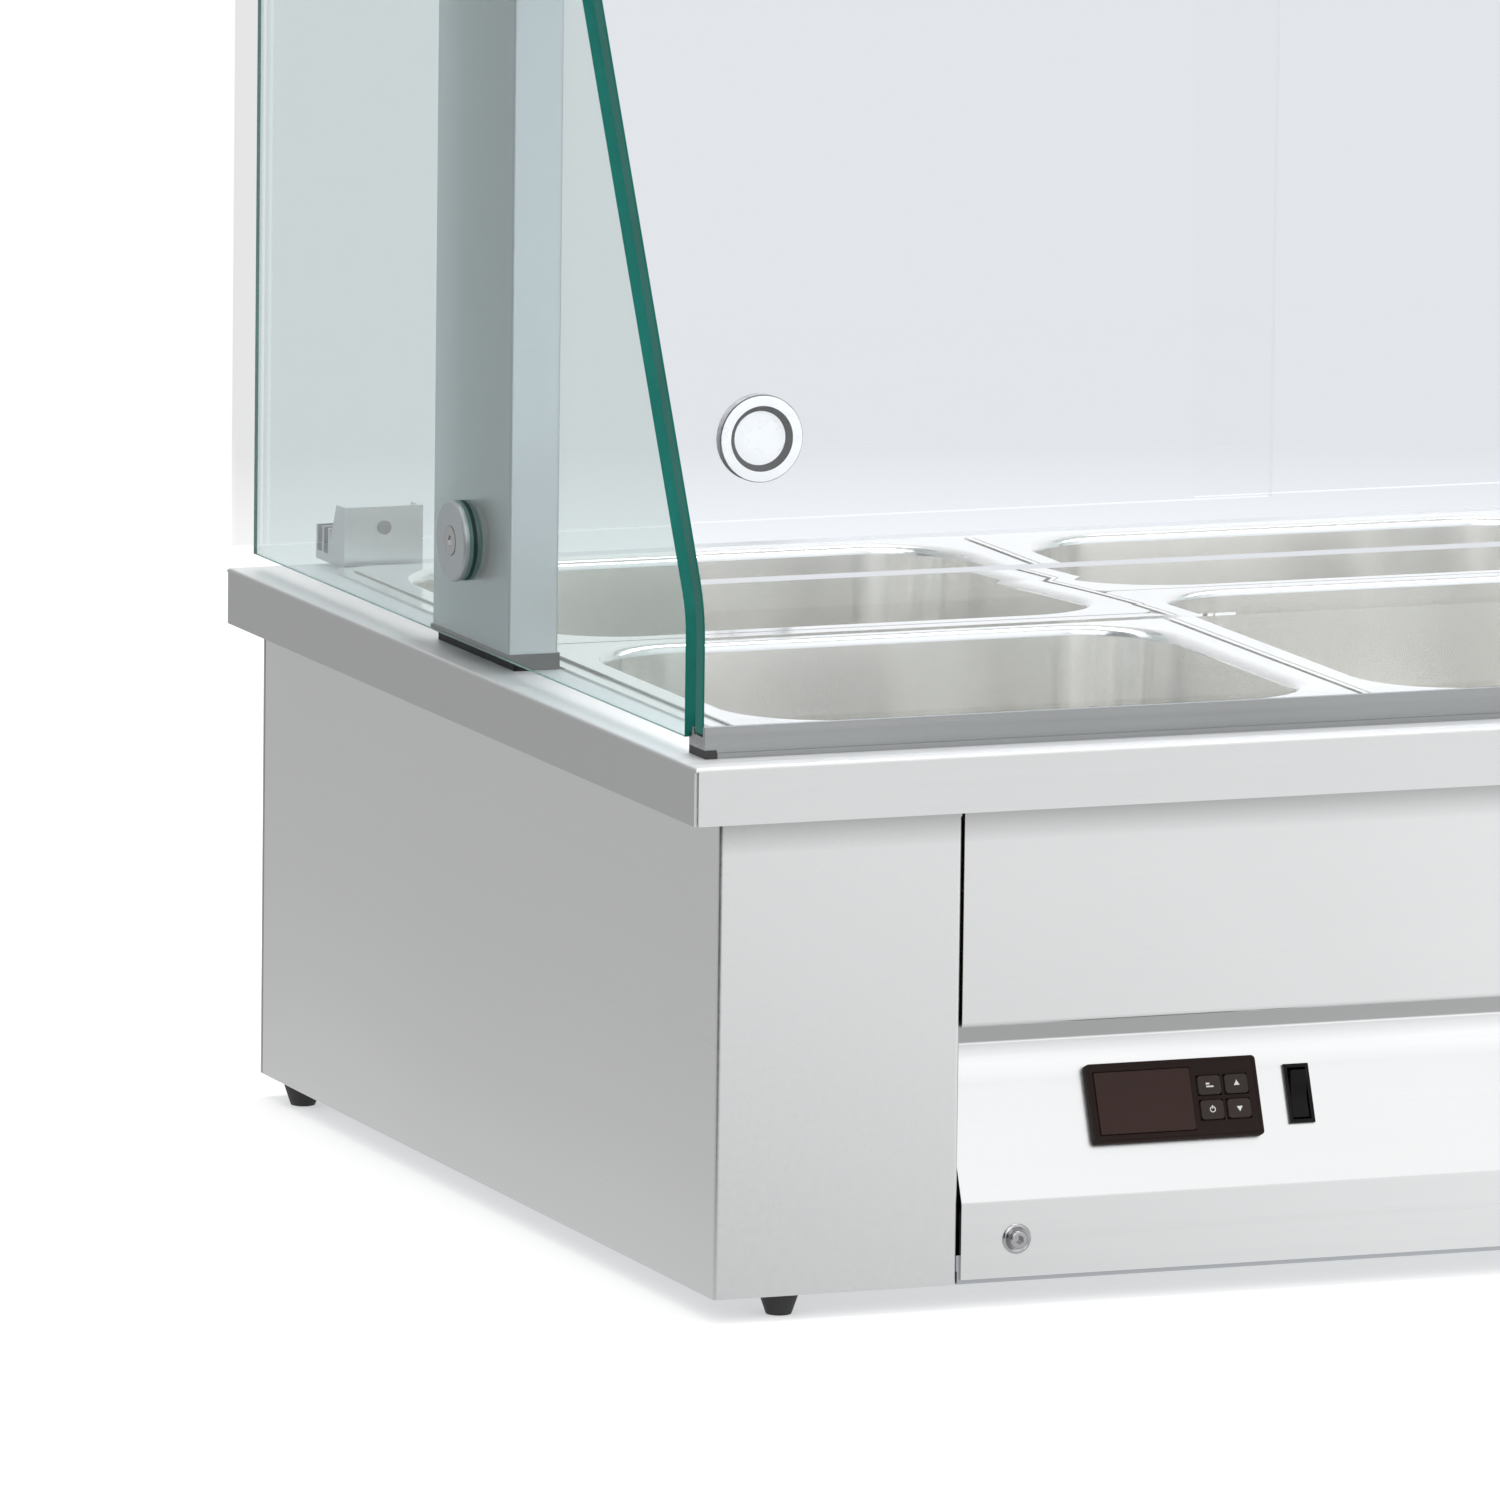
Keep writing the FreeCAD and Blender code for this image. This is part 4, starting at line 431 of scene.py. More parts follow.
@as_material
def polished_metal(tree, tone, roughness=0.08, metal=1.0, walls=1.0):
    """Metal with faint smudges; walls is a painted shade on the faces that don't look along Y, which also
    lose their metal and gloss
    """
    smudges = noise(tree, object_pattern(tree), scale=60.0)
    base = two_tone(tree, smudges, tone, 0.96, 1.02)
    gloss = 0.5
    # Painted shade: the walls are darkened and lose their metal and gloss, standing in for the shade inside
    # the pull
    if walls < 1:
        front = mapped(tree, facing(tree, "Y"), 0.0, 1.0, 0.75, 0.95)
        base = scaled(tree, base, mapped(tree, front, walls, 1.0, 0.0, 1.0))
        metal = calculated(tree, "MULTIPLY", front, metal)
        gloss = calculated(tree, "MULTIPLY", front, gloss)
    return add_node(tree, "ShaderNodeBsdfPrincipled", {
        "Base Color": base,
        "Metallic": metal,
        "Roughness": mapped(tree, smudges, roughness, roughness + 0.04),
        "Specular IOR Level": gloss,
    })


@as_material
def fibre_board(tree, tone):
    """Matted fibres with a soft, uneven surface"""
    fibres = noise(tree, object_pattern(tree, MATTED), scale=220.0, detail=6.0)
    return add_node(tree, "ShaderNodeBsdfPrincipled", {
        "Base Color": two_tone(tree, fibres, tone, 0.6, 1.2),
        "Roughness": 0.95,
        "Normal": bumped(tree, fibres, 0.8, 0.001),
    })


def give(material, *names):
    """The CAD nodes with these names take the material"""
    for name in names:
        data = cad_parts[name].data
        data.materials.clear()
        data.materials.append(material)


def sheet_finishes(look, controls):
    """Brushed panels with painted shade below the worktop's lip and in the recess above the sloping panel,
    painted light on the sloping panel, and painted shade on the worktop's ends
    """
    # Painted shade below the lip and in the recess, painted light on the slope's upper part
    lip = corners("worktop")[0].z
    painted_shade_below_lip = (lip - look.shade_reach, lip, 1.0, look.shade)
    slope_top = controls.fold_height + controls.slope_length * cos(controls.slope)
    painted_light_on_slope = (slope_top - look.shade_reach, slope_top, look.slope_low, look.slope_high)
    painted_shade_in_recess = (slope_top, slope_top + look.recess_reach, 1.0, look.recess_shade / look.slope_high)
    give(brushed_metal("brushed_sheet", look.steel), "roof_panel", "back_panel", "lamp_hood", "door_guides")
    give(brushed_metal("brushed_front", look.steel, painted_shade_and_light=(painted_shade_below_lip,)), "upper_front_panel")
    give(brushed_metal("brushed_slope", look.steel, painted_shade_and_light=(painted_light_on_slope, painted_shade_in_recess)), "control_panel")
    give(brushed_metal("brushed_end_panel", look.steel, ALONG_Y, painted_shade_and_light=(painted_shade_below_lip,)), "end_panels")
    # Painted shade on the worktop's faces that look along X
    give(brushed_metal("brushed_worktop", look.steel, roughness=0.5, metal=0.6, across=look.worktop_end_shade),
         "worktop")
    give(brushed_metal("galvanised_sheet", (0.42, 0.44, 0.46), SPECKLED, roughness=0.45), "base_plate",
         "element_straps")
    give(brushed_metal("dark_sheath", (0.20, 0.19, 0.18), SPECKLED, roughness=0.5), "heating_elements")
    drawn = brushed_metal("drawn_steel", look.drawn_steel, CLOUDED, roughness=0.15, depth=0.0, contrast=0.01,
                          metal=0.85)
    give(drawn, "water_tank", "divider_bars", "drain_pipe", "front_half_pan", "rear_half_pan",
         "two_thirds_pan", "one_third_pan", "full_pan")


def metal_finishes(look):
    """Aluminium profiles, chrome, screws and brass"""
    # Painted shade on the posts' sides that look along X
    give(brushed_metal("anodised_profile", look.aluminium, ALONG_Z, roughness=0.34, depth=0.00001,
                       contrast=0.02, across=look.post_side_shade), "posts")
    give(brushed_metal("anodised_rail", look.rail_aluminium, EXTRUDED, roughness=0.3, depth=0.00001,
                       contrast=0.22), "front_glass_rail", "front_glass_channel", "door_track")
    # Painted shade on the walls inside the finger pulls
    give(polished_metal("bright_chrome", (1.0, 1.0, 1.0), roughness=0.25, metal=0.2, walls=look.pull_wall_shade),
         "left_door_pull", "right_door_pull")
    give(polished_metal("satin_chrome", (0.42, 0.46, 0.47), roughness=0.45, metal=0.8), "clamp_caps")
    give(polished_metal("lamp_mirror", (0.80, 0.80, 0.80)), "lamp_reflector")
    give(polished_metal("screw_steel", (0.42, 0.42, 0.43), roughness=0.16), "clamp_screws", "panel_screws",
         "pan_head_screws", "post_screws", "tank_probe")
    give(polished_metal("nickelled_brass", (0.55, 0.53, 0.48), roughness=0.16), "drain_tap")
    polished_metal("lamp_wire", (0.20, 0.18, 0.17), roughness=0.3)


def glass_finishes(look):
    """Panes with green cut edges, clear doors and the lamps' tubes"""
    give(pane_glass("front_pane", look.front_glass, look.glass_edge, on_faces=False, gloss=0.2),
         "front_glass")
    give(pane_glass("side_pane", look.side_glass, look.glass_edge), "side_glasses")
    give(pane_glass("lamp_pane", (0.93, 0.95, 0.95), look.glass_edge, "Z"), "lamp_cover_glass")
    give(pane_glass("acrylic", (0.99, 0.99, 0.995), index=1.06, gloss=0.08), "left_door", "right_door")
    give(tube_glass("quartz_tube", (0.95, 0.90, 0.84)), "heat_lamps")


def plastic_finishes(look):
    """Rubber, plastics, ceramic and wool"""
    give(plain_plastic("foot_rubber", (0.035, 0.035, 0.037), roughness=0.7, grain_scale=500.0, depth=0.0001),
         "feet", "rail_end_pads")
    give(plain_plastic("post_foot_plastic", (0.018, 0.018, 0.019), gloss=0.2), "post_feet", "power_relay")
    give(plain_plastic("switch_black", (0.005, 0.005, 0.005), roughness=0.4, gloss=0.12), "switch_frame")
    give(plain_plastic("rocker_gloss", (0.0025, 0.0012, 0.0012), roughness=0.2, depth=0.00001, gloss=0.14),
         "switch_rocker")
    give(plain_plastic("clamp_gasket", (0.10, 0.20, 0.18), roughness=0.35), "clamp_discs")
    give(plain_plastic("hanger_nylon", (0.75, 0.75, 0.72), roughness=0.4),
         "left_door_hangers", "right_door_hangers")
    give(plain_plastic("controller_housing", look.controller, gloss=0.05), "controller_case")
    give(plain_plastic("smoked_pane", (0.036, 0.018, 0.015), roughness=0.14, depth=0.0, gloss=0.13),
         "controller_window")
    give(plain_plastic("key_cap", (0.032, 0.022, 0.021), roughness=0.42, gloss=0.2),
         "key_set", "key_up", "key_standby", "key_down")
    give(plain_plastic("grey_moulding", (0.30, 0.31, 0.32)),
         "terminal_block", "limit_thermostat", "cable_gland")
    give(plain_plastic("ceramic", (0.78, 0.76, 0.72), roughness=0.3), "lamp_holders")
    give(plain_plastic("glossy_red", look.lever, roughness=0.25, grain_scale=300.0, depth=0.00002,
                       coat=0.6), "tap_lever")
    give(fibre_board("wool_fibre", (0.50, 0.45, 0.28)), "tank_insulation")
    plain_plastic("key_mark", (0.72, 0.72, 0.70), gloss=0.2)


class BAINMARIE_OT_finishes(bpy.types.Operator):
    """Make the finishes and give every CAD node its own"""

    bl_idname = "bainmarie.finishes"
    bl_label = "Finishes"

    def execute(self, context):
        look = context.scene.bainmarie_finishes
        sheet_finishes(look, context.scene.bainmarie_controls)
        metal_finishes(look)
        glass_finishes(look)
        plastic_finishes(look)
        return {"FINISHED"}


# Modelling


def deselect():
    bpy.ops.object.select_all(action="DESELECT")


def activate(piece):
    deselect()
    piece.select_set(True)
    bpy.context.view_layer.objects.active = piece


def pick(piece, kind, test):
    """Open the piece in edit mode with only those points, edges or faces selected that pass the test"""
    activate(piece)
    bpy.ops.object.mode_set(mode="EDIT")
    bpy.ops.mesh.select_mode(type=kind)
    bpy.ops.mesh.select_all(action="DESELECT")
    bpy.ops.object.mode_set(mode="OBJECT")
    mesh = piece.data
    if kind == "FACE":
        for face in mesh.polygons:
            face.select = test(face.normal)
    elif kind == "EDGE":
        for edge in mesh.edges:
            first, second = (mesh.vertices[index].co for index in edge.vertices)
            edge.select = test(first, second)
    else:
        for point in mesh.vertices:
            point.select = test(point.co)
    bpy.ops.object.mode_set(mode="EDIT")


def closed(piece):
    """Leave edit mode with all normals outwards"""
    bpy.ops.mesh.select_all(action="SELECT")
    bpy.ops.mesh.normals_make_consistent(inside=False)
    bpy.ops.object.mode_set(mode="OBJECT")
    return piece


def block(name, low, high):
    """A box between two corners, as the start of a piece"""
    deselect()
    low, high = Vector(low), Vector(high)
    bpy.ops.mesh.primitive_cube_add(size=1, location=(low + high) / 2, scale=high - low)
    piece = bpy.context.object
    piece.name = name
    bpy.ops.object.transform_apply(location=True, rotation=True, scale=True)
    return piece


def slab(name, place, wide, high, front, back):
    """A box round a place across and up, from one depth to another"""
    x, up = place
    return block(name, (x - wide / 2, front, up - high / 2), (x + wide / 2, back, up + high / 2))


def round_corners(piece, radius, steps):
    """Round the corners of a slab as seen from the front"""
    pick(piece, "EDGE", lambda first, second: abs(first.y - second.y) > HAIR)
    bpy.ops.mesh.bevel(offset=radius, segments=steps, affect="EDGES")
    return closed(piece)


def turned(name, outline, sides):
    """A turned piece along +Z: a disc drawn through (radius, height) pairs"""
    deselect()
    radius, height = outline[0]
    bpy.ops.mesh.primitive_circle_add(vertices=sides, radius=radius, fill_type="NGON",
                                      location=(0, 0, height))
    piece = bpy.context.object
    piece.name = name
    bpy.ops.object.transform_apply(location=True, rotation=True, scale=True)
    bpy.ops.object.mode_set(mode="EDIT")
    bpy.ops.mesh.select_mode(type="FACE")
    bpy.ops.mesh.select_all(action="SELECT")
    for new_radius, new_height in outline[1:]:
        bpy.ops.mesh.extrude_region_move(TRANSFORM_OT_translate={"value": (0, 0, new_height - height)})
        share = new_radius / radius
        bpy.ops.transform.resize(value=(share, share, 1), center_override=(0, 0, new_height))
        radius, height = new_radius, new_height
    return closed(piece)


def soften(piece, width, steps=3, angle_limit=40):
    """Round the sharp edges of the piece"""
    activate(piece)
    bpy.ops.object.modifier_add(type="BEVEL")
    edge = piece.modifiers[-1]
    edge.width = width
    edge.segments = steps
    edge.limit_method = "ANGLE"
    edge.angle_limit = radians(angle_limit)
    bpy.ops.object.modifier_apply(modifier=edge.name)
    return piece


def remove(piece):
    activate(piece)
    bpy.ops.object.delete()


def cut_out(piece, cutter):
    """Take the cutter's shape out of the piece and delete the cutter"""
    activate(piece)
    bpy.ops.object.modifier_add(type="BOOLEAN")
    cut = piece.modifiers[-1]
    cut.operation = "DIFFERENCE"
    cut.object = cutter
    bpy.ops.object.modifier_apply(modifier=cut.name)
    remove(cutter)


def put(piece, turn, place):
    """Turn the piece about the origin, then carry it to its place"""
    activate(piece)
    piece.rotation_euler = turn
    bpy.ops.object.transform_apply(location=False, rotation=True, scale=False)
    piece.location = place
    bpy.ops.object.transform_apply(location=True, rotation=False, scale=False)
    return piece


def copy_of(piece):
    """A copy with its own mesh"""
    activate(piece)
    bpy.ops.object.duplicate(linked=False)
    return bpy.context.object


def copies(piece, spots):
    """The piece and copies of it at spots that hold a turn and a place"""
    pieces = [piece] + [copy_of(piece) for spot in spots[1:]]
    return [put(twin, turn, place) for twin, (turn, place) in zip(pieces, spots)]


def joined(name, pieces):
    """One object of several pieces, under a new name"""
    deselect()
    for piece in pieces:
        piece.select_set(True)
    bpy.context.view_layer.objects.active = pieces[0]
    if len(pieces) > 1:
        bpy.ops.object.join()
    pieces[0].name = name
    return pieces[0]


def settle(piece, body, slot, finish, *replaced):
    """Smooth the piece, give it its finish, hang it on its body and let it stand for CAD nodes"""
    activate(piece)
    bpy.ops.object.shade_smooth_by_angle(angle=radians(35))
    bpy.ops.object.modifier_add(type="WEIGHTED_NORMAL")
    even = piece.modifiers[-1]
    even.keep_sharp = True
    bpy.ops.object.modifier_apply(modifier=even.name)
    piece.data.materials.clear()
    piece.data.materials.append(bpy.data.materials[finish])
    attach(piece, body)
    if replaced:
        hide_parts(*replaced)


# Controls on the sloping panel


def on_slope(piece, sizes):
    """Lean a piece that is drawn upright above the fold onto the sloping panel"""
    face = corners("upper_front_panel")[0].y
    return put(piece, (-sizes.slope, 0, 0), (0, face, sizes.fold_height))


def key_places(sizes):
    """The four keys with their middles, across and up the slope"""
    across, up = sizes.key_pitch
    x = middle("controller_case").x + sizes.key_shift
    sides = (("key_set", -1, 1), ("key_up", 1, 1), ("key_standby", -1, -1), ("key_down", 1, -1))
    return [(name, (x + side * across / 2, sizes.middle_height + row * up / 2)) for name, side, row in sides]


class BAINMARIE_OT_controller(bpy.types.Operator):
    """Model the controller's housing and its smoked window"""

    bl_idname = "bainmarie.controller"
    bl_label = "Controller"

    gap = 0.0003
    bezel_corner = 0.002
    border_width = 0.0013
    step_width = 0.0004
    field_depth = 0.0006
    pocket_depth = 0.0012
    well_depth = 0.0022
    window_proud = 0.0002
    window_seat = 0.001
    window_corner = 0.0008
    bezel_rounding = 0.0003
    case_rounding = 0.0012
    window_rounding = 0.0004

    def execute(self, context):
        sizes = context.scene.bainmarie_controls
        place = middle("controller_case").x, sizes.middle_height
        window_place = place[0] - sizes.window_shift, sizes.middle_height
        border = -sizes.bezel_depth
        field = border + self.field_depth
        bezel = self.bezel(sizes, place)
        margin = 2 * self.gap
        cut_out(bezel, slab("pocket", window_place, sizes.window_width + margin,
                            sizes.window_height + margin, border - self.gap, field + self.pocket_depth))
        for name, key_place in key_places(sizes):
            cut_out(bezel, slab("well", key_place, sizes.key_width + margin, sizes.key_height + margin,
                                border - self.gap, field + self.well_depth))
        case = slab("case", place, sizes.case_width, sizes.case_height, 0, sizes.case_depth)
        soften(case, self.case_rounding, steps=2)
        housing = on_slope(joined("controller_housing", [bezel, case]), sizes)
        settle(housing, "cabinet", "brown_plastic", "controller_housing", "controller_case")
        window = slab("smoked_window", window_place, sizes.window_width, sizes.window_height,
                      border - self.window_proud, field + self.window_seat)
        round_corners(window, self.window_corner, steps=4)
        on_slope(soften(window, self.window_rounding), sizes)
        settle(window, "cabinet", "smoked_window", "smoked_pane", "controller_window")
        return {"FINISHED"}

    def bezel(self, sizes, place):
        """The bezel with a raised border round its field"""
        bezel = slab("bezel", place, sizes.bezel_width, sizes.bezel_height, -sizes.bezel_depth, 0)
        round_corners(bezel, self.bezel_corner, steps=5)
        pick(bezel, "FACE", lambda normal: normal.y < -STRAIGHT)
        bpy.ops.mesh.inset(thickness=self.border_width)
        bpy.ops.mesh.inset(thickness=self.step_width)
        bpy.ops.transform.translate(value=(0, self.field_depth, 0))
        return soften(closed(bezel), self.bezel_rounding, steps=2)


class BAINMARIE_OT_keys(bpy.types.Operator):
    """Model the four soft keys with plain signs on them"""

    bl_idname = "bainmarie.keys"
    bl_label = "Keys"

    proud = 0.0006
    seat = 0.002
    corner = 0.0018
    rounding = 0.0005
    sign_depth = 0.0002
    arrow_radius = 0.0017
    ring_radius = 0.0015
    ring_wall = 0.0004
    ring_sides = 24

    # A bar's shift across and up, its width and its height
    ring_bar = (0, 0.0012, 0.0005, 0.0016)
    long_bar = (0, -0.0008, 0.0038, 0.0007)
    short_bar = (-0.001, 0.0006, 0.0018, 0.0009)

    def execute(self, context):
        sizes = context.scene.bainmarie_controls
        front = -sizes.bezel_depth - self.proud
        back = self.seat - sizes.bezel_depth
        cap = slab("cap", (0, 0), sizes.key_width, sizes.key_height, front, back)
        soften(round_corners(cap, self.corner, steps=5), self.rounding)
        for name, (x, up) in key_places(sizes):
            key = put(copy_of(cap), (0, 0, 0), (x, 0, up))
            key.name = name + "_cap"
            settle(on_slope(key, sizes), name + "_body", "key_plastic", "key_cap", name)
            sign = joined(name + "_sign", self.sign(name, x, up, front))
            settle(on_slope(sign, sizes), name + "_body", "key_plastic", "key_mark")
        remove(cap)
        return {"FINISHED"}

    def sign(self, name, x, up, front):
        """The pieces of a key's sign: a list, a ring with a bar, or an arrow up or down"""
        if name == "key_set":
            return [self.bar(x, up, front, box) for box in (self.long_bar, self.short_bar)]
        if name == "key_standby":
            return [self.ring(x, up, front), self.bar(x, up, front, self.ring_bar)]
        arrow = turned("arrow", [(self.arrow_radius, 0), (self.arrow_radius, self.sign_depth)], 3)
        return [put(arrow, (pi / 2, 0 if name == "key_up" else pi, 0), (x, front, up))]

    def bar(self, x, up, front, box):
        """A flat bar"""
        across, rise, wide, high = box
        return slab("bar", (x + across, up + rise), wide, high, front - self.sign_depth, front)

    def ring(self, x, up, front):
        """A flat ring"""
        ring = turned("ring", [(self.ring_radius, 0), (self.ring_radius, self.sign_depth)], self.ring_sides)
        pick(ring, "FACE", lambda normal: abs(normal.z) > STRAIGHT)
        bpy.ops.mesh.inset(thickness=self.ring_wall)
        bpy.ops.mesh.bridge_edge_loops()
        return put(closed(ring), (pi / 2, 0, 0), (x, front, up))


class BAINMARIE_OT_rocker(bpy.types.Operator):
    """Model the dished rocker of the switch"""

    bl_idname = "bainmarie.rocker"
    bl_label = "Rocker"

    proud = 0.003
    heel = 0.0035
    heel_share = 0.8
    rounding = 0.0005
    rows = 10

    def execute(self, context):
        sizes = context.scene.bainmarie_controls
        x = middle("switch_frame").x
        half_height, heel = sizes.rocker_height / 2, self.heel
        rocker = slab("dished_rocker", (x, 0), sizes.rocker_width, sizes.rocker_height, -self.proud,
                      heel)
        pick(rocker, "EDGE", lambda first, second: abs(first.z - second.z) > half_height)
        bpy.ops.mesh.subdivide(number_cuts=self.rows - 1)
        bpy.ops.object.mode_set(mode="OBJECT")
        dish = half_height * sin(sizes.rocker_tilt)
        for row in range(self.rows + 1):
            z = half_height * (2 * row / self.rows - 1)
            depth = dish * cos(pi / 2 * z / half_height)
            pick(rocker, "VERT", lambda point: abs(point.z - z) < HAIR and point.y < 0)
            bpy.ops.transform.translate(value=(0, depth, 0))
            closed(rocker)
        pick(rocker, "VERT", lambda point: point.y > heel / 2)
        bpy.ops.transform.resize(value=(1, 1, self.heel_share), center_override=(x, heel, 0))
        soften(closed(rocker), self.rounding, angle_limit=50)
        put(rocker, (sizes.rocker_tilt, 0, 0), (0, 0, sizes.middle_height))
        on_slope(rocker, sizes)
        settle(rocker, "rocker_body", "black_gloss_plastic", "rocker_gloss", "switch_rocker")
        return {"FINISHED"}


# Turned fittings


class BAINMARIE_OT_pulls(bpy.types.Operator):
    """Turn the two flush finger pulls of the rear doors"""

    bl_idname = "bainmarie.pulls"
    bl_label = "Finger pulls"

    def execute(self, context):
        sizes = context.scene.bainmarie_fittings
        names = ("left_door_pull", "right_door_pull")
        low, high = corners(names[0])
        door_low, door_high = corners("left_door")
        outer, face, seat = (high.x - low.x) / 2, (high.y - low.y) / 2, (door_high.y - door_low.y) / 2
        cup, barrel, web, rim = sizes.pull_cup / 2, sizes.pull_barrel / 2, sizes.pull_web / 2, sizes.rim
        floor = cup - sizes.pull_taper
        half = [(floor - rim / 2, web), (floor, web + rim / 2), (cup, face - rim / 2), (cup + rim / 2, face),
                (outer - 2 * rim, face), (outer - rim / 2, face - rim / 3), (outer, face - rim),
                (outer, seat), (barrel, seat)]
        pull = turned("pull", half + [(radius, -height) for radius, height in reversed(half)], sizes.corners)
        spots = [((pi / 2, 0, 0), middle(name)) for name in names]
        for twin, name in zip(copies(pull, spots), names):
            twin.name = name + "_turned"
            settle(twin, name.replace("pull", "body"), "chromed_zinc", "bright_chrome", name)
        return {"FINISHED"}


class BAINMARIE_OT_clamps(bpy.types.Operator):
    """Turn the caps of the glass clamps"""

    bl_idname = "bainmarie.clamps"
    bl_label = "Clamp caps"

    def execute(self, context):
        sizes = context.scene.bainmarie_fittings
        low, high = corners("clamp_caps")
        radius, recess = (high.y - low.y) / 2, sizes.cap_recess / 2
        thick, rim = sizes.cap_thickness, sizes.rim
        outline = [(radius, 0), (radius, thick - 2 * rim), (radius - rim / 3, thick - rim),
                   (radius - rim * 1.2, thick), (recess + rim, thick), (recess, thick - rim / 2),
                   (recess, thick - sizes.cap_recess_depth)]
        y = middle("clamp_caps").y
        spots = [((0, side * pi / 2, 0), (x, y, z)) for side, x in ((-1, low.x + thick), (1, high.x - thick))
                 for z in (low.z + radius, high.z - radius)]
        caps = joined("turned_caps", copies(turned("cap", outline, sizes.corners), spots))
        settle(caps, "cabinet", "chromed_zinc", "satin_chrome", "clamp_caps")
        return {"FINISHED"}


class BAINMARIE_OT_feet(bpy.types.Operator):
    """Turn the rubber feet with a rounded sole and a shoulder"""

    bl_idname = "bainmarie.feet"
    bl_label = "Feet"

    places = ((0.490, -0.3105), (0.518, 0.272))
    rounding = 0.0015
    shoulder = 0.002
    stem = 0.004
    clip = 0.0055
    clip_start = 0.0013
    clip_middle = 0.0015

    def execute(self, context):
        sizes = context.scene.bainmarie_fittings
        plate = corners("base_plate")[0].z
        end = corners("feet")[1].z
        sole, top, stem, rim = sizes.foot_sole, sizes.foot_top, self.stem, self.rounding
        outline = [(sole - rim, 0), (sole - rim * 4 / 15, rim / 5), (sole, rim * 4 / 5),
                   (top, plate - self.shoulder), (top, plate), (stem, plate),
                   (stem, plate + self.clip_start), (self.clip, plate + self.clip_middle), (stem, end)]
        spots = [((0, 0, 0), (side * x, y, 0)) for x, y in self.places for side in (-1, 1)]
        feet = joined("turned_feet", copies(turned("foot", outline, sizes.corners // 2), spots))
        settle(feet, "cabinet", "black_rubber", "foot_rubber", "feet")
        return {"FINISHED"}


class BAINMARIE_OT_panel_screws(bpy.types.Operator):
    """Turn the strip's screws: a dished washer, a domed head with a hexagon socket, a shank and a nut"""

    bl_idname = "bainmarie.panel_screws"
    bl_label = "Panel screws"

    socket_radius = 0.0023
    socket_depth = 0.003
    shank_radius = 0.0025
    shank_length = 0.012
    shank_sides = 24
    tip_radius = 0.0018
    tip_length = 0.001
    nut_radius = 0.0046
    nut_chamfer = 0.0004
    nut_start = 0.0024
    nut_end = 0.0064
    hexagon = 6

    def execute(self, context):
        sizes = context.scene.bainmarie_fittings
        low, high = corners("panel_screws")
        strip = corners("upper_front_panel")[0].y
        z = (low.z + high.z) / 2
        shank = [(self.shank_radius, 0), (self.shank_radius, self.shank_length - self.tip_length),
                 (self.tip_radius, self.shank_length)]
        edge, start, end, chamfer = self.nut_radius, self.nut_start, self.nut_end, self.nut_chamfer
        nut = [(edge - chamfer, start), (edge, start + chamfer), (edge, end - chamfer),
               (edge - chamfer, end)]
        behind = (turned("shank", shank, self.shank_sides), turned("nut", nut, self.hexagon))
        pieces = [self.head(sizes), *(put(piece, (pi, 0, 0), (0, 0, 0)) for piece in behind)]
        edge = sizes.washer_radius
        spots = [((pi / 2, 0, 0), (x, strip, z)) for x in (low.x + edge, high.x - edge)]
        screws = joined("turned_panel_screws", copies(joined("screw", pieces), spots))
        settle(screws, "cabinet", "stainless_fasteners", "screw_steel", "panel_screws")
        return {"FINISHED"}

    def head(self, sizes):
        """Washer and head in one, with the socket cut out"""
        washer, thick, rim = sizes.washer_radius, sizes.washer_thickness, sizes.rim
        head, tall = sizes.head_radius, sizes.head_height
        outline = [(washer, 0), (washer, rim / 2), (washer - rim / 2, thick - rim / 3),
                   (washer - rim * 1.5, thick), (head + rim * 0.8, thick - rim / 2), (head, thick - rim / 2),
                   (head, thick + tall / 2), (head * 0.9, thick + tall * 0.8), (head * 0.72, thick + tall)]
        piece = turned("head", outline, sizes.corners)
        deselect()
        bpy.ops.mesh.primitive_cylinder_add(vertices=self.hexagon, radius=self.socket_radius,
                                            depth=2 * self.socket_depth, location=(0, 0, thick + tall))
        cut_out(piece, bpy.context.object)
        return piece


# Inside the roof and the base


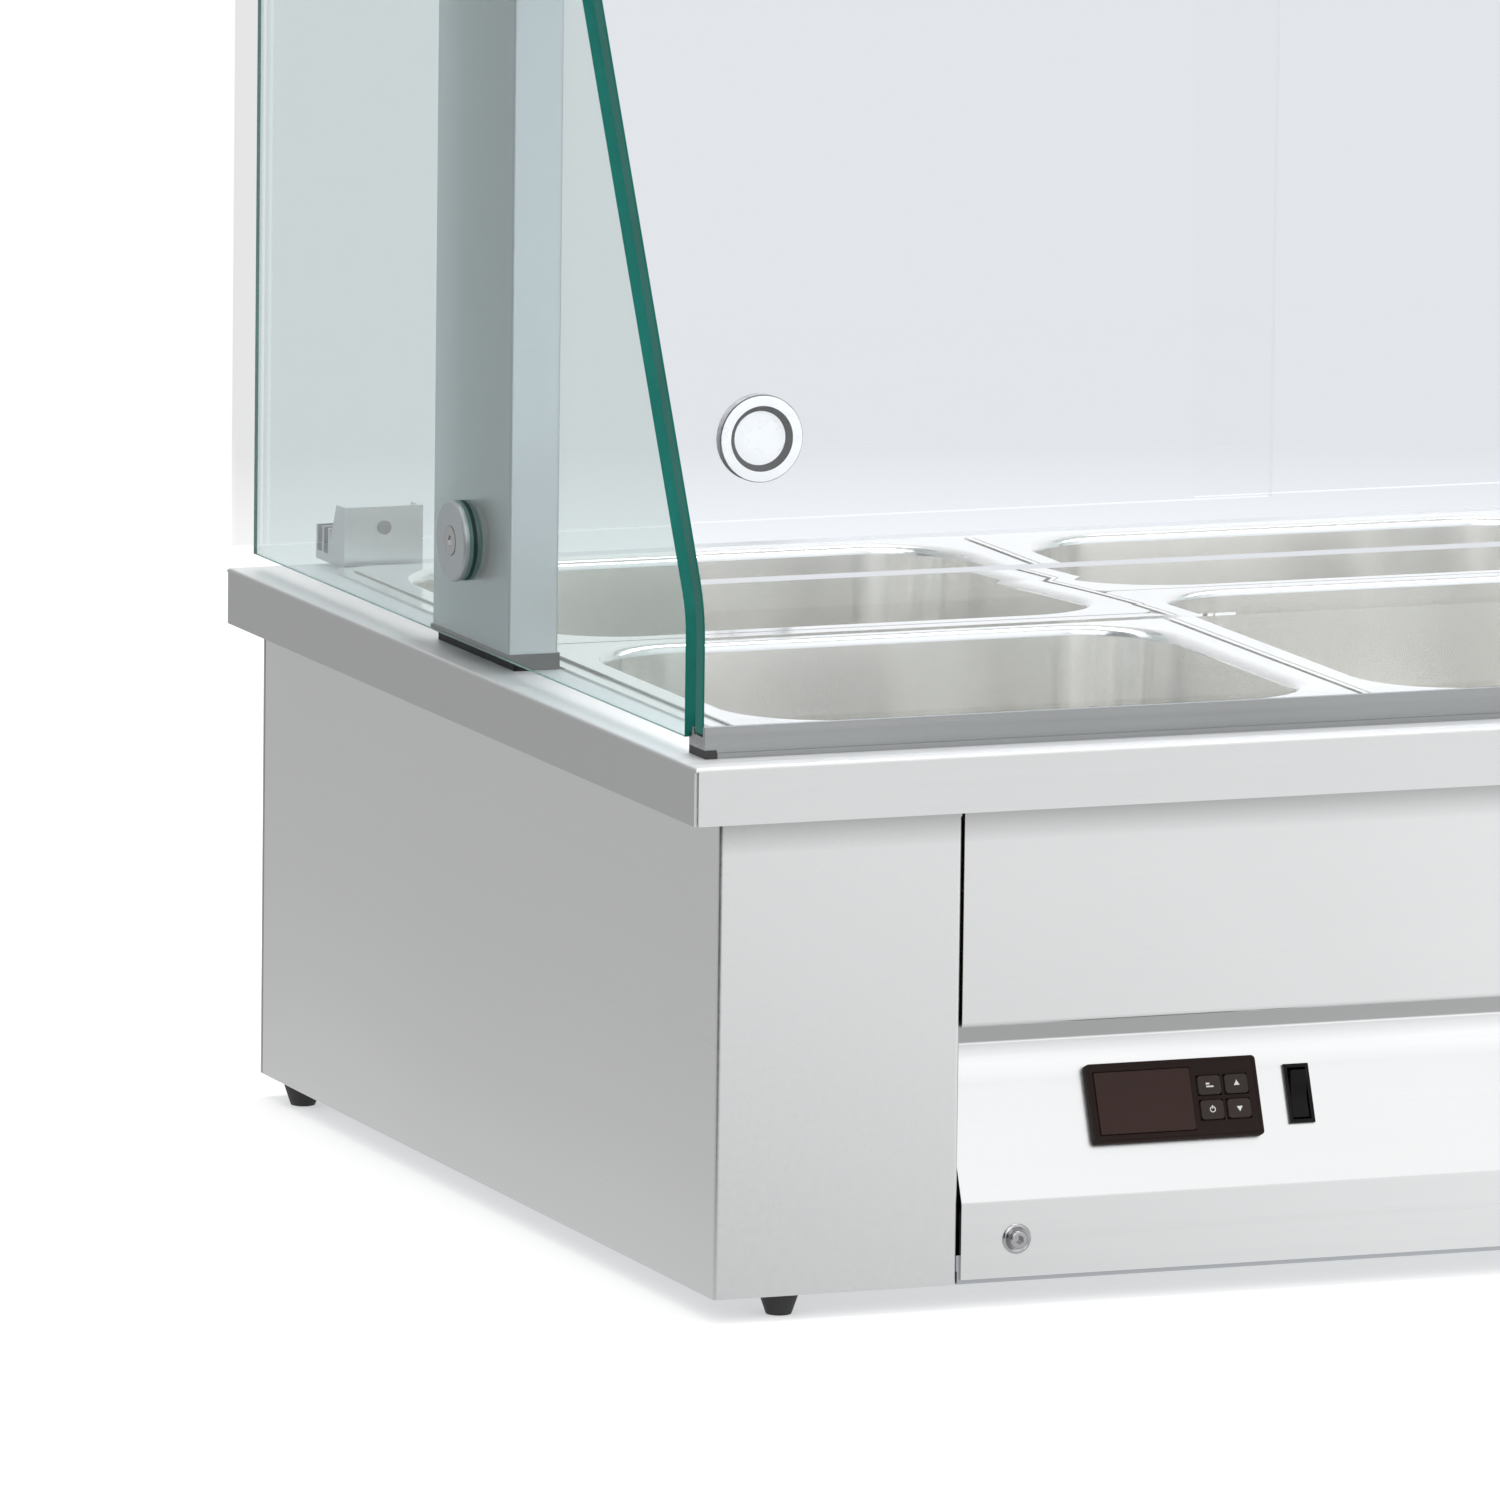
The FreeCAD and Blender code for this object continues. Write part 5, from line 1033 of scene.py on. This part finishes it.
class BAINMARIE_OT_lamps(bpy.types.Operator):
    """Model the heat lamps as quartz tubes with end pinches and a coiled wire"""

    bl_idname = "bainmarie.lamps"
    bl_label = "Heat lamps"

    pinch_length = 0.010
    pinch_share = 0.6
    taper_length = 0.006
    tube_sides = 32
    coil_share = 0.45
    coil_margin = 0.018
    wire_radius = 0.0004
    wire_sides = 6
    turns = 26
    steps = 8

    def execute(self, context):
        sizes = context.scene.bainmarie_inner
        low, high = corners("heat_lamps")
        centre = middle("heat_lamps")
        half = sizes.lamp_length / 2
        places = (low.x + half, centre.x, high.x - half)
        tube, coil = self.tube(sizes, (high.z - low.z) / 2), self.coil(sizes, (high.z - low.z) / 2)
        for name, piece, start, finish, replaced in (
                ("quartz_tubes", tube, half, "quartz_tube", ("heat_lamps",)),
                ("lamp_wires", coil, half - self.coil_margin, "lamp_wire", ())):
            spots = [((0, pi / 2, 0), (x - start, centre.y, centre.z)) for x in places]
            settle(joined(name, copies(piece, spots)), "cabinet", "quartz_glass", finish, *replaced)
        return {"FINISHED"}

    def tube(self, sizes, radius):
        """A tube with narrow ends"""
        end, narrow = sizes.lamp_length, radius * self.pinch_share
        pinch = self.pinch_length
        taper = pinch + self.taper_length
        outline = [(narrow, 0), (narrow, pinch), (radius, taper), (radius, end - taper),
                   (narrow, end - pinch), (narrow, end)]
        return turned("tube", outline, self.tube_sides)

    def coil(self, sizes, radius):
        """A coil along the tube's axis, drawn by screwing a small circle round it"""
        deselect()
        bpy.ops.mesh.primitive_circle_add(vertices=self.wire_sides, radius=self.wire_radius,
                                          location=(radius * self.coil_share, 0, 0), rotation=(pi / 2, 0, 0))
        coil = bpy.context.object
        bpy.ops.object.transform_apply(location=True, rotation=True, scale=True)
        bpy.ops.object.modifier_add(type="SCREW")
        screw = coil.modifiers[-1]
        screw.screw_offset = (sizes.lamp_length - 2 * self.coil_margin) / self.turns
        screw.iterations = self.turns
        screw.steps = screw.render_steps = self.steps
        bpy.ops.object.modifier_apply(modifier=screw.name)
        bpy.ops.object.mode_set(mode="EDIT")
        bpy.ops.mesh.select_all(action="SELECT")
        bpy.ops.mesh.remove_doubles(threshold=HAIR / 10)
        bpy.ops.mesh.fill_holes(sides=self.wire_sides)
        return closed(coil)


class BAINMARIE_OT_insulation(bpy.types.Operator):
    """Model the mineral wool boards round the tank with a rough, uneven surface"""

    bl_idname = "bainmarie.insulation"
    bl_label = "Insulation"

    fibre_size = 0.012
    cuts = 30

    def execute(self, context):
        sizes = context.scene.bainmarie_inner
        low, high = corners("tank_insulation")
        edge = Vector((sizes.wool_thickness, sizes.wool_thickness, 0))
        inner_low, inner_high = low + edge, high - edge
        places = ((low.x, inner_low.y, inner_low.x, inner_high.y),
                  (inner_high.x, inner_low.y, high.x, inner_high.y),
                  (inner_low.x, low.y, inner_high.x, inner_low.y),
                  (inner_low.x, inner_high.y, inner_high.x, high.y))
        fibres = bpy.data.textures.new("fibres", "CLOUDS")
        fibres.noise_scale = self.fibre_size
        boards = []
        for left, front, right, back in places:
            board = block("board", (left, front, low.z), (right, back, high.z))
            bpy.ops.object.mode_set(mode="EDIT")
            bpy.ops.mesh.select_all(action="SELECT")
            bpy.ops.mesh.subdivide(number_cuts=self.cuts)
            bpy.ops.object.mode_set(mode="OBJECT")
            bpy.ops.object.modifier_add(type="DISPLACE")
            rough = board.modifiers[-1]
            rough.texture = fibres
            rough.strength = sizes.wool_roughness
            rough.mid_level = 1.0
            bpy.ops.object.modifier_apply(modifier=rough.name)
            boards.append(board)
        settle(joined("wool_boards", boards), "cabinet", "mineral_wool", "wool_fibre", "tank_insulation")
        return {"FINISHED"}


# Stage


def along_x(tree, kind, sides, stage):
    """Strength that grows from left to right and is dim again far right, for the two side faces"""
    left, right, far = sides
    x = coordinate(tree, kind, "X")
    growing = mapped(tree, x, stage.dim_side, stage.bright_side, left, right)
    falling = mapped(tree, x, stage.bright_side, stage.dim_side, far, far + right - left)
    return calculated(tree, "MINIMUM", growing, falling)


def darkened(tree, kind, strength, ends, stage):
    """Strength with a dark card at the front left, which only the bends next to the side faces reflect"""
    left, front = ends
    blur = stage.card_blur
    x = coordinate(tree, kind, "X")
    near = mapped(tree, x, 0.0, 1.0, *stage.card_reach)
    beside = mapped(tree, x, near, 0.0, left - blur, left + blur)
    before = mapped(tree, coordinate(tree, kind, "Y"), 1.0, 0.0, front - blur, front + blur)
    covered = calculated(tree, "MULTIPLY", beside, before)
    return calculated(tree, "MULTIPLY", strength, mapped(tree, covered, 1.0, stage.card, 0.0, 1.0))


def by_ray(tree, seen, reflected, otherwise, behind_glass=1.0):
    """A strength for what is seen straight or through glass, one for reflections, one for other light"""
    path = add_node(tree, "ShaderNodeLightPath")
    straight = path.outputs["Is Camera Ray"]
    through = calculated(tree, "MAXIMUM", straight, path.outputs["Is Transmission Ray"])
    looked = calculated(tree, "MAXIMUM", through, path.outputs["Is Glossy Ray"])
    bounced = calculated(tree, "GREATER_THAN", path.outputs["Glossy Depth"], 0.5)
    direct = calculated(tree, "MULTIPLY", through, calculated(tree, "SUBTRACT", 1.0, bounced))
    glossy = calculated(tree, "SUBTRACT", looked, direct)
    rest = calculated(tree, "SUBTRACT", 1.0, looked)
    seen = calculated(tree, "MULTIPLY", seen, mapped(tree, straight, behind_glass, 1.0, 0.0, 1.0))
    total = calculated(tree, "MULTIPLY", direct, seen)
    for share, strength in ((glossy, reflected), (rest, otherwise)):
        total = calculated(tree, "ADD", total, calculated(tree, "MULTIPLY", share, strength))
    return total


@as_material
def floor_material(tree, stage):
    """Pale floor that keeps shadows near the unit and runs out into plain white further away"""
    diffuse = add_node(tree, "ShaderNodeBsdfDiffuse", {"Color": (*stage.floor_colour, 1)})
    glow = by_ray(tree, stage.floor_glow, 0.0, 0.0, stage.behind_glass)
    glowing = add_node(tree, "ShaderNodeEmission", {"Strength": glow})
    near = add_node(tree, "ShaderNodeAddShader", {0: diffuse.outputs[0], 1: glowing.outputs[0]})
    plain = by_ray(tree, 1.0, 0.0, stage.fill, stage.behind_glass)
    white = add_node(tree, "ShaderNodeEmission", {"Strength": plain})
    place = add_node(tree, "ShaderNodeTexCoord")
    reach = add_node(tree, "ShaderNodeVectorMath", {0: place.outputs["Object"]}, operation="LENGTH")
    far = mapped(tree, reach.outputs["Value"], 0.0, 1.0, stage.floor_near, stage.floor_far)
    mirror = along_x(tree, "Object", stage.floor_sides, stage)
    mirror = darkened(tree, "Object", mirror, stage.floor_card, stage)
    mirrored = add_node(tree, "ShaderNodeEmission", {"Strength": mirror})
    return mixed(tree, by_ray(tree, 0.0, 1.0, 0.0), mixed(tree, far, near, white), mirrored)


def light_surroundings(scene, stage):
    """White surroundings, brighter on the right, as the metal and the glass reflect them"""
    scene.world = bpy.data.worlds.new("studio_light")
    tree = new_tree(scene.world)
    mirror = along_x(tree, "Generated", stage.sky_sides, stage)
    mirror = darkened(tree, "Generated", mirror, stage.sky_card, stage)
    mirror = calculated(tree, "MULTIPLY", mirror, stage.sky)
    strength = by_ray(tree, 1.0, mirror, stage.fill * stage.sky, stage.behind_glass)
    background = add_node(tree, "ShaderNodeBackground", {"Color": (1, 1, 1, 1), "Strength": strength})
    add_node(tree, "ShaderNodeOutputWorld", {"Surface": background.outputs[0]})


def add_light(name, place, target, size, power):
    """Soft light, as wide and deep as its two sizes, that points at a place"""
    bpy.ops.object.light_add(type="AREA", location=place)
    light = bpy.context.object
    light.name = name
    light.data.shape = "RECTANGLE"
    light.data.size, light.data.size_y = size
    light.data.energy = power
    light.rotation_euler = (Vector(target) - Vector(place)).to_track_quat("-Z", "Y").to_euler()
    return light


def add_camera(scene, stage):
    """The camera that took the photograph"""
    bpy.ops.object.camera_add(location=stage.place)
    camera = bpy.context.object
    camera.name = "photo_camera"
    camera.data.sensor_width = SENSOR_WIDTH
    camera.data.lens = stage.focal_pixels / PHOTO_SIDE * SENSOR_WIDTH
    camera.data.clip_end = FARTHEST_SEEN
    turn = Euler((pi / 2 - stage.pitch, 0, -stage.yaw)).to_matrix() @ Matrix.Rotation(stage.roll, 3, "Z")
    camera.rotation_euler = turn.to_euler()
    scene.camera = camera


class BAINMARIE_OT_stage(bpy.types.Operator):
    """Add the floor, the lights, the white surroundings and the camera"""

    bl_idname = "bainmarie.stage"
    bl_label = "Stage"

    floor_sides = 64

    def execute(self, context):
        scene = context.scene
        stage = scene.bainmarie_stage
        deselect()
        bpy.ops.mesh.primitive_circle_add(vertices=self.floor_sides, radius=stage.floor_radius,
                                          fill_type="NGON")
        floor = context.object
        floor.name = "studio_floor"
        floor.data.materials.append(floor_material("studio_floor", stage))
        light_surroundings(scene, stage)
        front_size, top_size = (stage.front_size, stage.front_size), (stage.top_size, stage.top_size)
        add_light("key_light", stage.key_place, stage.target, front_size, stage.key)
        add_light("front_light", stage.front_place, stage.target, front_size, stage.front)
        add_light("top_light", stage.top_place, stage.target, top_size, stage.top)
        low, high = corners("lamp_cover_glass")
        below = Vector((*middle("lamp_cover_glass").xy, low.z - stage.display_gap))
        pane_size = (high.x - low.x, high.y - low.y)
        display = add_light("display_light", below, (*below.xy, 0), pane_size, stage.display)
        display.visible_camera = False
        display.visible_transmission = False
        add_camera(scene, stage)
        scene.view_settings.view_transform = "Standard"
        return {"FINISHED"}


class BAINMARIE_PT_panel(bpy.types.Panel):
    """The unit's settings and steps in the sidebar"""

    bl_idname = "BAINMARIE_PT_panel"
    bl_label = "Heated Display Bain-Marie"
    bl_space_type = "VIEW_3D"
    bl_region_type = "UI"
    bl_category = "Bain-Marie"

    def draw(self, context):
        for name in SETTINGS:
            settings = getattr(context.scene, name)
            for key in settings.__annotations__:
                self.layout.prop(settings, key)
        for operator in OPERATORS:
            self.layout.operator(operator.bl_idname)


OPERATORS = (BAINMARIE_OT_finishes, BAINMARIE_OT_controller, BAINMARIE_OT_keys, BAINMARIE_OT_rocker,
             BAINMARIE_OT_pulls, BAINMARIE_OT_clamps, BAINMARIE_OT_feet, BAINMARIE_OT_panel_screws,
             BAINMARIE_OT_lamps, BAINMARIE_OT_insulation, BAINMARIE_OT_stage)
SETTINGS = {
    "bainmarie_finishes": CabinetFinishes,
    "bainmarie_controls": ControlSizes,
    "bainmarie_fittings": FittingSizes,
    "bainmarie_inner": InnerSizes,
    "bainmarie_stage": StageSettings,
}
CLASSES = (*SETTINGS.values(), *OPERATORS, BAINMARIE_PT_panel)


def register():
    for item in CLASSES:
        bpy.utils.register_class(item)
    for name, group in SETTINGS.items():
        setattr(bpy.types.Scene, name, PointerProperty(type=group))


def unregister():
    for name in SETTINGS:
        delattr(bpy.types.Scene, name)
    for item in reversed(CLASSES):
        bpy.utils.unregister_class(item)


def main():
    register()
    for operator in OPERATORS:
        getattr(bpy.ops.bainmarie, operator.bl_idname.split(".")[1])()


if __name__ == "__main__":
    main()
